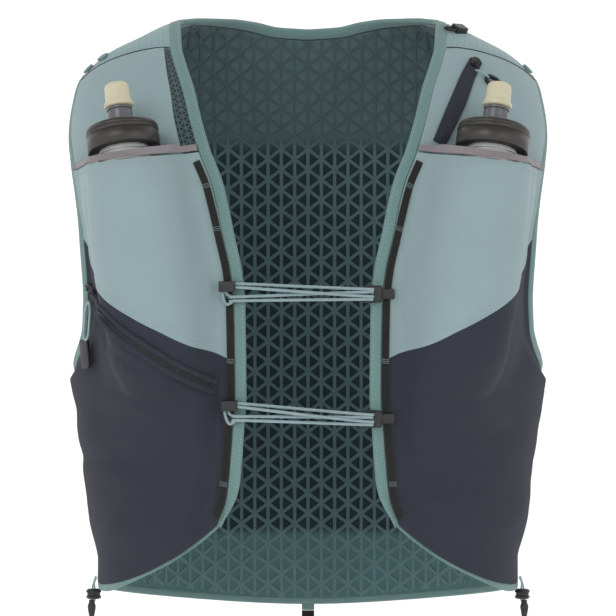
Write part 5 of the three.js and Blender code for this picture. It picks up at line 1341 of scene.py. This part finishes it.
@dataclass
class Closure:
    """The rails and the two chest cords with what they hook on."""

    TACKS = (18.0, 47.0, 92.0, 137.0, 176.0, 221.0)
    cord_radius: float = 1.0
    cord_level: float = 1.6
    hook_level: float = 2.7
    hook_shift: float = -2.0
    run_length: float = 104.0
    cross_over: float = 3.4

    ROUTE = (
        # from, right, up: the cord's route, measured from the slider's middle or the hook's
        ("hook", -7, 3.5), ("hook", -17.6, 3.5), ("slider", 7, 1.1), ("slider", 0, 1.0),
        ("slider", -2.8, -1.6), ("slider", -3.2, -7), ("slider", -0.6, -12.6), ("slider", 3, -11.4),
        ("slider", 9, -10.3),
        ("hook", -17.6, -3.5), ("hook", -8.6, -3.5), ("hook", -6.4, -1.1), ("hook", -8.6, 1.25),
        ("hook", -17.6, 1.25), ("slider", 9, -7.6), ("slider", 3, -7.5), ("slider", -0.6, -5.6),
        ("slider", -0.2, -2.4), ("slider", 3, -1.3), ("slider", 7, -1.3), ("hook", -17.6, -1.2),
        ("hook", -7, -1.2),
    )

    RING = (-12.2, 6.2, 4.9, 0.95)  # the hook's ring: its middle, its two half widths, its height off the rail
    BLOCKS = (
        # limits to the right, up and out, and edge rounding: the block, the ring's bar and the foot
        ((-9.6, -4.5), (-5.6, 5.7), (0.4, 5.5), 1.3), ((-19.4, -17.2), (-5.0, 5.1), (0.4, 1.6), 0.5),
        ((-5.4, 4.8), (-3.4, 3.6), (0.3, 1.7), 0.6),
    )

    def rail_place(self, line: Array) -> tuple[Array, Array]:
        """The rail's middle on a line, beside the opening's edge."""
        return front_place((RAIL_INSET + RAIL_WIDTH / 2) / span_of(line), line)

    def rail(self, side: int, name: str, pocket: Pocket) -> None:
        """One dark rail with its tack stitches."""
        line = np.linspace(MOUTH + 0.3, HEM - 0.6, 150)
        path = layer_path(*self.rail_place(line), pocket.high, side)
        half = RAIL_WIDTH / 2
        section = rounded_bar(-half, half, 0.05, CLEARANCE + RAIL_THICKNESS, 0.5)
        dress(sweep(path, section), f"cord_rail_{name}_tape", Material.RAIL, [f"cord_rail_{name}"])
        across = path.across()
        gone = path.length()
        thread = Surface()
        for tack in self.TACKS:
            i = int(np.searchsorted(gone, tack))
            for lean in (-1.2, 0, 1.2):
                spread = np.linspace(-half + 0.3, half - 0.3, 6)[:, None]
                ahead = unit(path.points[i + 1] - path.points[i])
                line_points = (path.points[i] + across[i] * spread + ahead * (lean + spread * 0.12)
                               + path.up[i] * (CLEARANCE + RAIL_THICKNESS + 0.02))
                stitches(line_points, np.repeat(path.up[i:i + 1], 6, 0), 1.0, 0.9, 0.15, thread)
        dress(thread, f"cord_rail_{name}_tacks", Material.CORD, smooth=False)

    def seat(self, drop: float, side: int, pocket: Pocket) -> tuple[Array, Array, Array, Array]:
        """A frame on the rail at a drop: its place, right, up and out."""
        line = np.linspace(MOUTH, HEM, 2000)
        angle, z = self.rail_place(line)
        i = int(np.argmax(drop_of(z) >= drop))
        here = layer_path(angle[i:i + 1], z[i:i + 1], pocket.rail, side)
        point, out = here.points[0], here.up[0]
        east = unit(np.cross(UPRIGHT, out))
        return point, east, np.cross(out, east), out

    def slab(self, seat: tuple[Array, Array, Array, Array], right: tuple[float, float],
             up: tuple[float, float], out: tuple[float, float], corner: float) -> Surface:
        """A block with round edges in a seat's frame, between limits to the right, up and out."""
        point, east, north, away = seat
        middle = point + north * sum(up) / 2 + away * sum(out) / 2
        stations = mix(*right, np.array([0.0, 0.04, 0.12, 0.88, 0.96, 1.0]))
        path = Path(middle + east * stations[:, None], np.repeat(away[None], len(stations), 0))
        tall, thick = (up[1] - up[0]) / 2, (out[1] - out[0]) / 2
        rounding = np.array([0.78, 0.93, 1, 1, 0.93, 0.78])
        return sweep(path, rounded_bar(-tall, tall, -thick, thick, corner, 4), rounding)

    def hook(self, name: str, drop: float, pockets: dict[int, Pocket]) -> None:
        """A flat ring that the cord lies across, the block that holds the cord and its foot on the rail."""
        seat = self.seat(drop, 1, pockets[1])
        point, east, north, away = seat
        turn = np.linspace(0, 2 * np.pi, 48, endpoint=False)
        wide, tall = (np.sign(part) * np.abs(part) ** 0.8 for part in (np.cos(turn), np.sin(turn)))
        loop = (point + east * (self.RING[0] + self.RING[1] * wide)[:, None]
                + north * (self.RING[2] * tall)[:, None] + away * self.RING[3])
        ring = even(loop, 0.9, True)
        section = rounded_bar(-1.15, 1.15, -0.6, 0.6, 0.4)
        surface = sweep(Path(ring, np.tile(away, (len(ring), 1)), True), section)
        for right, up, out, corner in self.BLOCKS:
            surface.join(self.slab(seat, right, up, out, corner))
        dress(surface, f"hook_{name}_moulded", Material.TRIM, [f"hook_{name}"])

    def cord(self, name: str, slider: float, hook: float, pockets: dict[int, Pocket]) -> None:
        """One chest cord, whole, through its slider and its hook."""
        seats = {"slider": self.seat(slider, -1, pockets[-1]), "hook": self.seat(hook, 1, pockets[1])}
        points = []
        for where, right, up in self.ROUTE:
            point, east, north, out = seats[where]
            if where == "hook":
                right, level = right + self.hook_shift, self.hook_level
            else:
                level = self.cord_level
            points.append(point + east * right + north * up + out * level)
        line = even(spline(np.array(points), 900), 0.9)
        gone = way_along(line, 0)
        last_run = np.clip((gone - gone[-1]) / self.run_length + 1, 0, 1)
        line[:, 1] -= self.cross_over * np.sin(np.pi * last_run) ** 2
        path = Path(line, np.tile([0.0, -1.0, 0.05], (len(line), 1)))
        braid = 1 + 0.05 * np.sin(path.length() * 2.6)
        cord = sweep(path, circle(self.cord_radius, 12), braid)
        dress(cord, f"chest_cord_{name}_line", Material.CORD, [f"chest_cord_{name}"])


@dataclass
class Flask:
    """One soft flask with its lid."""

    side: int
    name: str
    neck_radius: float = 17.0
    neck_height: float = 13.0
    cap_radius: float = 24.6
    cap_height: float = 19.0
    collar_radius: float = 8.6
    collar_height: float = 11.0
    valve_radius: float = 10.0
    valve_height: float = 17.0
    rise: float = 6.0
    lean: float = 7.5
    tilt: float = 15.0
    hidden_below: float = 0.36
    behind_pocket: float = 0.4

    def frame(self) -> tuple[Array, Array]:
        """The lid's origin and axis."""
        z = np.float64(FLASK_SHOULDER)
        origin = off_body(flask_angle(z), z, FLASK_BACK + self.cap_radius + CLEARANCE)
        axis = np.array([math.tan(math.radians(self.lean)), math.tan(math.radians(self.tilt)), 1.0])
        mirror = np.array([self.side, 1, 1])
        return origin * mirror, unit(axis) * mirror

    def body(self, pocket: Pocket) -> None:
        """The soft bottle: a lens section along the body, closed at both ends."""
        along = np.concatenate([[0.0, 0.02], np.linspace(0.05, 0.96, 40), [0.985, 1.0]])
        turn = np.linspace(0, np.pi, 40)
        rings = []
        for share in along:
            z = np.float64(FLASK_SHOULDER - share * FLASK_LENGTH)
            width = FLASK_HALF_WIDTH * flask_width(share)
            beside = width * np.cos(turn)
            middle = flask_angle(z)
            per = np.linalg.norm(body_point(middle + 1, z) - body_point(middle, z))
            angle = middle + beside / per
            lift = FLASK_DEPTH * flask_depth(share) * bulge(np.abs(beside) / width)
            height = np.full(40, z)
            full = FLASK_SEAT + lift
            room = pocket.low(angle, height) - self.behind_pocket
            room = np.where(drop_of(height) > self.hidden_below, room, full)
            front = off_body(angle, height, np.maximum(np.minimum(full, room), FLASK_SEAT))
            back = off_body(angle[-2:0:-1], np.full(38, z), np.full(38, FLASK_SEAT))
            rings.append(np.vstack([front, back]))
        points = np.stack(rings) * np.array([self.side, 1, 1])
        count, sides = points.shape[:2]
        faces = grid_faces(count, sides, wrap=True)
        surface = Surface()
        uv = np.stack([way_along(points, 1), way_along(points, 0)], -1)
        surface.add(points, faces if self.side < 0 else faces[:, ::-1], uv)
        surface.caps += ring_caps(count, sides)
        origin, axis = self.frame()
        top, radius = self.neck_height, self.neck_radius
        neck = [(0.1, -6), (radius + 5, -6), (radius + 4, -3), (radius + 1, -0.5), (radius, 1), (radius, 3),
                (radius + 1, 3.4), (radius + 1, 4.6), (radius, 5), (radius, top), (0.1, top)]
        surface.join(turned(neck, 48, origin, axis))
        dress(surface, f"flask_body_{self.name}_film", Material.FILM, [f"flask_body_{self.name}"])

    def lid(self) -> None:
        """The ribbed cap with its grooves, the collar and the bite valve."""
        origin, axis = self.frame()
        low, radius = self.rise, self.cap_radius
        high = low + self.cap_height
        inner = self.neck_radius + 0.6
        body = f"lid_{self.name}"
        cap = [(0.1, 13.7), (inner, 13.7), (inner, low), (radius - 0.8, low), (radius, low + 0.7),
               (radius, low + 9.6), (radius - 0.35, low + 10.0), (radius - 0.7, low + 10.5),
               (radius - 0.35, low + 11), (radius, low + 11.4), (radius, low + 12.6),
               (radius - 0.6, low + 13.1), (radius - 0.2, low + 13.6),
               (radius - 0.4, low + 15.2), (radius - 1.2, low + 16.4), (radius - 3, low + 17.2),
               (self.collar_radius + 5, high - 0.5), (self.collar_radius + 2, high), (0.1, high)]
        dress(turned(cap, 72, origin, axis), f"flask_cap_{self.name}_shell", Material.CAP,
              [f"flask_cap_{self.name}"], body)
        start = high + CLEARANCE
        r, h = self.collar_radius, self.collar_height
        collar = [(0.1, start), (r * 0.8, start), (r * 0.82, start + 1.6), (r, start + 2.2),
                  (r, start + h * 0.72), (r * 0.9, start + h * 0.76), (r * 0.9, start + h * 0.82),
                  (r, start + h * 0.86), (r, start + h - 0.4), (r * 0.94, start + h), (0.1, start + h)]
        dress(turned(collar, 48, origin, axis), f"valve_collar_{self.name}_ring", Material.COLLAR,
              [f"valve_collar_{self.name}"], body)
        start += h + CLEARANCE
        r, h = self.valve_radius, self.valve_height
        valve = [(0.1, start), (r * 0.9, start), (r, start + h * 0.05), (r * 1.0, start + h * 0.16),
                 (r * 0.93, start + h * 0.22), (r * 0.86, start + h * 0.3), (r * 0.84, start + h * 0.8),
                 (r * 0.78, start + h * 0.92), (r * 0.66, start + h * 0.985), (r * 0.4, start + h),
                 (0.1, start + h)]
        dress(turned(valve, 48, origin, axis), f"bite_valve_{self.name}_tip", Material.VALVE,
              [f"bite_valve_{self.name}"], body)


def packed_copy(node: str, name: str, slot: Material,
                work: Callable[[bmesh.types.BMesh], None]) -> bpy.types.Object:
    """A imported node's mesh copied into a finish, its doubles joined, after some more work on it."""
    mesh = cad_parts[node].data.copy()
    mesh.name = name
    shape = bmesh.new()
    shape.from_mesh(mesh)
    bmesh.ops.remove_doubles(shape, verts=shape.verts, dist=2e-6)
    work(shape)
    shape.to_mesh(mesh)
    shape.free()
    mesh.materials.clear()
    mesh.materials.append(MATERIALS[slot])
    mesh.polygons.foreach_set("use_smooth", np.ones(len(mesh.polygons), bool))
    return link(name, mesh)


def softened(node: str, slot: Material, width: float, name: str) -> None:
    """A moulded piece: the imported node's form with its flat faces joined and its edges rounded.

    Args:
        node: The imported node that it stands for.
        slot: Its finish.
        width: The rounding's width in mm.
        name: The new piece's name.
    """
    def rounded(shape: bmesh.types.BMesh) -> None:
        """Joins the flat faces and rounds the sharp edges."""
        bmesh.ops.dissolve_limit(shape, angle_limit=math.radians(3), verts=shape.verts, edges=shape.edges)
        least = math.radians(35)
        sharp = [edge for edge in shape.edges if edge.is_manifold and edge.calc_face_angle(0) > least]
        bmesh.ops.bevel(shape, geom=sharp, offset=width * MM, segments=2, profile=0.6, affect="EDGES",
                        clamp_overlap=True)
        bmesh.ops.triangulate(shape, faces=[face for face in shape.faces if len(face.verts) > 4])

    thing = packed_copy(node, name, slot, rounded)
    thing.data.set_sharp_from_angle(angle=math.radians(40))
    settle(thing, [node])


@dataclass
class Trim:
    """Zips, pulls, locks, tabs and the small cords."""

    coil_pitch: float = 1.5
    coil_width: float = 4.0
    coil_rest: float = 1.3
    tape_margin: float = 1.2
    welt_away: float = 1.5
    welt_half_width: float = 1.9
    welt_height: float = 2.5
    flap_half_width: float = 4.5
    flap_height: float = 1.6

    HARD = (
        # node, finish, edge rounding
        ("cord_slider_upper", Material.TRIM, 0.5), ("cord_slider_lower", Material.TRIM, 0.5),
        ("pocket_zip_slider", Material.TRIM, 0.35), ("pocket_zip_tab", Material.TRIM, 0.6),
        ("shoulder_zip_slider", Material.TRIM, 0.35), ("shoulder_zip_ring", Material.TRIM, 0.4),
        ("pole_loop_lock", Material.TRIM, 0.7), ("shoulder_tab_left_outer", Material.TAPE, 0.4),
        ("shoulder_tab_left_inner", Material.TAPE, 0.4), ("shoulder_tab_right", Material.TAPE, 0.4),
        ("hem_loop", Material.TAPE, 0.5), ("hem_tab", Material.RAIL, 0.5),
    )
    SOFT = (
        # node, finish: thin cords whose packed tubes are only rounded further
        ("pocket_zip_cord", Material.CORD), ("shoulder_zip_cord", Material.CORD),
        ("pole_loop", Material.RAIL), ("hem_cord_left", Material.CORD), ("hem_cord_right", Material.CORD),
    )

    LOCK = (
        # radius, height: the barrel of a hem lock
        (0.1, 0.0), (3.9, 0.0), (5.0, 0.7), (5.3, 1.8), (4.5, 2.4), (4.5, 4.2), (5.3, 4.8), (5.0, 6.2),
        (3.6, 7.0), (0.1, 7.0),
    )
    PULL = (
        # radius, height: the tapered end that is pulled
        (0.1, 0.0), (1.0, 0.1), (1.5, 0.8), (1.8, 3.5), (2.6, 7.5), (2.9, 10.0), (2.4, 12.0), (1.8, 12.8),
        (2.1, 13.6), (1.6, 14.8), (0.1, 15.0),
    )

    def hem_ends(self) -> None:
        """The barrel lock and the tapered pull at each end of the hem cord."""
        for name in ("left", "right"):
            for label, outline in (("lock", self.LOCK), ("pull", self.PULL)):
                node = f"hem_{label}_{name}"
                low, high = (np.array(corner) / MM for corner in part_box(node))
                foot = np.array([(low[0] + high[0]) / 2, (low[1] + high[1]) / 2, low[2]])
                tall = (high[2] - low[2]) / outline[-1][1]
                shape = [(radius, height * tall) for radius, height in outline]
                dress(turned(shape, 32, foot, UPRIGHT), f"{node}_moulded", Material.TRIM, [node])

    def hard(self) -> None:
        """Every moulded piece with round edges."""
        for node, slot, width in self.HARD:
            softened(node, slot, width, f"{node}_moulded")

    def soft(self) -> None:
        """The thin cords, each subdivided once into a rounder tube."""
        def four_sided(shape: bmesh.types.BMesh) -> None:
            """Joins the triangles of the tube in pairs."""
            bmesh.ops.join_triangles(shape, faces=shape.faces, angle_face_threshold=1.2,
                                     angle_shape_threshold=1.2)

        for node, slot in self.SOFT:
            thing = packed_copy(node, f"{node}_line", slot, four_sided)
            finer = thing.modifiers.new("rounder", "SUBSURF")
            finer.levels = finer.render_levels = 1
            settle(thing, [node])

    def coil(self, pocket: Pocket) -> None:
        """The pocket zip: two rows of teeth between two narrow tapes."""
        reach, drop = spline(ZIP_PATH, 160).T
        path = layer_path(*place_seen(reach, drop, pocket.high), pocket.high, -1)
        line, out = path.points, path.up
        half = self.coil_width / 2
        wide = half + self.tape_margin
        tape = sweep(path, rounded_bar(-wide, wide, 0.1, self.coil_rest, 0.3))
        dress(tape, "pocket_zip_tape", Material.DARK, ["pocket_zip"])
        fine = even(line, 0.8)
        lift = unit(read_along(np.linspace(0, 1, len(fine)), np.linspace(0, 1, len(line)), out))
        gone = way_along(fine, 0)
        gather = 1 + 0.09 * np.sin(gone / 0.83) * np.sin(gone / 5.1) + 0.06 * np.sin(gone / 2.3)
        beside = Path(fine, lift).across()
        for lean, name in ((-1, "upper"), (1, "lower")):
            welt = Path(fine + beside * lean * (half + self.welt_away), lift)
            bar = rounded_bar(-self.welt_half_width, self.welt_half_width, -0.3, self.welt_height, 1.3, 5)
            roll = sweep(welt, bar, gather)
            dress(roll, f"pocket_zip_welt_{name}", Material.DARK)
        across = path.across()
        gone = path.length()
        at = np.arange(0.8, gone[-1] - 0.8, self.coil_pitch)
        middle, up, side = (read_along(at, gone, values) for values in (line, path.up, across))
        up, side = unit(up), unit(side)
        ahead = np.cross(side, up)
        shape = np.array([(x, y, h) for h in (0, 1) for y in (-1, 1) for x in (-1, 1)], float)
        quads = np.array([(0, 1, 3, 2), (4, 6, 7, 5), (0, 4, 5, 1), (2, 3, 7, 6), (0, 2, 6, 4), (1, 5, 7, 3)])
        teeth = Surface()
        for lean, shift in ((-1, 0.0), (1, self.coil_pitch / 2)):
            centre = middle + side * lean * half * 0.48 + ahead * shift + up * (self.coil_rest - 0.1)
            corner = (centre[:, None] + ahead[:, None] * shape[None, :, :1] * 0.45
                      + side[:, None] * shape[None, :, 1:2] * half * 0.5
                      + up[:, None] * shape[None, :, 2:] * (1.1 - 0.25 * np.abs(shape[None, :, 1:2])))
            teeth.add(corner, repeated(quads, len(shape), len(at))[:, ::-1], corner[..., [0, 2]])
        dress(teeth, "pocket_zip_teeth", Material.TRIM, smooth=False)

    def flap(self) -> None:
        """The dark flap over the shoulder zip, with a stitch row down each edge."""
        rows = np.array([
            # reach, drop, share of the full width
            (0.685, 0.083, 1.0), (0.648, 0.112, 1.12), (0.605, 0.154, 1.25), (0.570, 0.185, 1.2),
            (0.524, 0.224, 1.0),
        ])
        reach, drop, grow = spline(rows, 60).T
        layer = flat(PANEL_HIGH)
        path = layer_path(*place_seen(reach, drop, layer), layer, 1)
        wide = self.flap_half_width
        flap = sweep(path, rounded_bar(-wide, wide, 0.1, self.flap_height, 0.6), grow)
        dress(flap, "shoulder_zip_flap", Material.DARK, ["shoulder_zip"])
        across = path.across()
        thread = Surface()
        for lean in (1.2 - wide, wide - 1.2):
            line = path.points + (across * lean + path.up * self.flap_height) * grow[:, None]
            stitches(line, path.up, 1.9, 2.7, 0.22, thread)
        dress(thread, "shoulder_zip_stitches", Material.RAIL, smooth=False)


@dataclass
class Studio:
    """Floor, lights and camera, placed as in the photograph."""

    camera_away: float = 2.6
    camera_height: float = -0.1841
    focal_length: float = 217.05
    floor_height: float = -0.52
    floor_flat: float = 4.2
    floor_bend: float = 1.5
    wall_height: float = 4.5
    glow: float = 0.3
    room_light: float = 0.47

    LAMPS = (
        # name, place in metres, size, power
        ("key", (-1.1, -2.0, 1.1), 1.3, 14), ("fill", (1.5, -1.9, 0.5), 1.4, 6),
        ("back_light", (0.3, 1.1, 1.3), 1.2, 5),
    )

    def backdrop(self) -> None:
        """One pale dish: a round floor that curves up far out on every side."""
        turn = np.linspace(0.0, math.pi / 2, 10)
        start, bend = self.floor_flat, self.floor_bend
        profile = [(0.05, 0.0), (2.0, 0.0)]
        profile += [(start + bend * math.sin(t), bend - bend * math.cos(t)) for t in turn]
        profile += [(start + bend, self.wall_height)]
        outline = [(radius / MM, (height + self.floor_height) / MM) for radius, height in profile]
        surface = turned(outline, 64, np.zeros(3), UPRIGHT)
        surface.caps = surface.caps[:1]
        graph = Graph("studio_paper")
        place = graph.node("TexCoord").outputs["Object"]
        tone = graph.blend(graph.noise(place, 3.0), (0.93, 0.93, 0.93, 1), (0.95, 0.95, 0.95, 1))
        graph.give(graph.shader, {
            "Base Color": tone, "Roughness": 0.9, "Emission Color": (1.0, 1.0, 1.0, 1.0),
            "Emission Strength": self.glow})
        surface.build("studio_floor", graph.material, weld=False)

    def lamp(self, name: str, place: tuple[float, float, float], size: float, power: float) -> None:
        """A square soft lamp aimed at the vest's middle."""
        data = bpy.data.lights.new(name, "AREA")
        data.size = size
        data.energy = power
        lamp = link(name, data)
        lamp.location = place
        aim = Vector((0, 0, self.camera_height)) - Vector(place)
        lamp.rotation_euler = aim.to_track_quat("-Z", "Y").to_euler()

    def light(self) -> None:
        """Even light from the front and both sides, a little stronger from above."""
        world = bpy.data.worlds.new("studio_world")
        world.use_nodes = True
        color, strength = world.node_tree.nodes["Background"].inputs[:2]
        color.default_value, strength.default_value = (1, 1, 1, 1), self.room_light
        bpy.context.scene.world = world
        bpy.context.scene.view_settings.view_transform = "Standard"
        for lamp in self.LAMPS:
            self.lamp(*lamp)

    def camera(self) -> None:
        """A level camera straight in front."""
        data = bpy.data.cameras.new("photo_camera")
        data.sensor_fit = "HORIZONTAL"
        data.sensor_width = 36.0
        data.lens = self.focal_length
        data.clip_start, data.clip_end = 0.05, 30
        camera = link("photo_camera", data)
        camera.location = (0, -self.camera_away, self.camera_height)
        camera.rotation_euler = (math.pi / 2, 0, 0)
        bpy.context.scene.camera = camera


def build_vest() -> None:
    """Builds every piece of the vest."""
    pockets = {side: Pocket(side) for side in (-1, 1)}
    back = Back()
    back.cloth()
    back.lattice()
    tapes = Tapes()
    tapes.front()
    tapes.hem()
    closure = Closure()
    for side, name in ((-1, "left"), (1, "right")):
        panels = Panels(side, name)
        panels.mesh()
        panels.chest()
        panels.yoke()
        panels.pockets(pockets[side])
        panels.seams(pockets[side])
        tapes.armhole(side, name)
        closure.rail(side, name, pockets[side])
        flask = Flask(side, name)
        flask.body(pockets[side])
        flask.lid()
    for name, slider, hook in (("upper", 0.455, 0.469), ("lower", 0.647, 0.6695)):
        closure.hook(name, hook, pockets)
        closure.cord(name, slider, hook, pockets)
    trim = Trim()
    trim.hard()
    trim.hem_ends()
    trim.soft()
    trim.coil(pockets[-1])
    trim.flap()


def main() -> None:
    """Builds the vest and the studio."""
    build_vest()
    studio = Studio()
    studio.backdrop()
    studio.light()
    studio.camera()


if __name__ == "__main__":
    main()
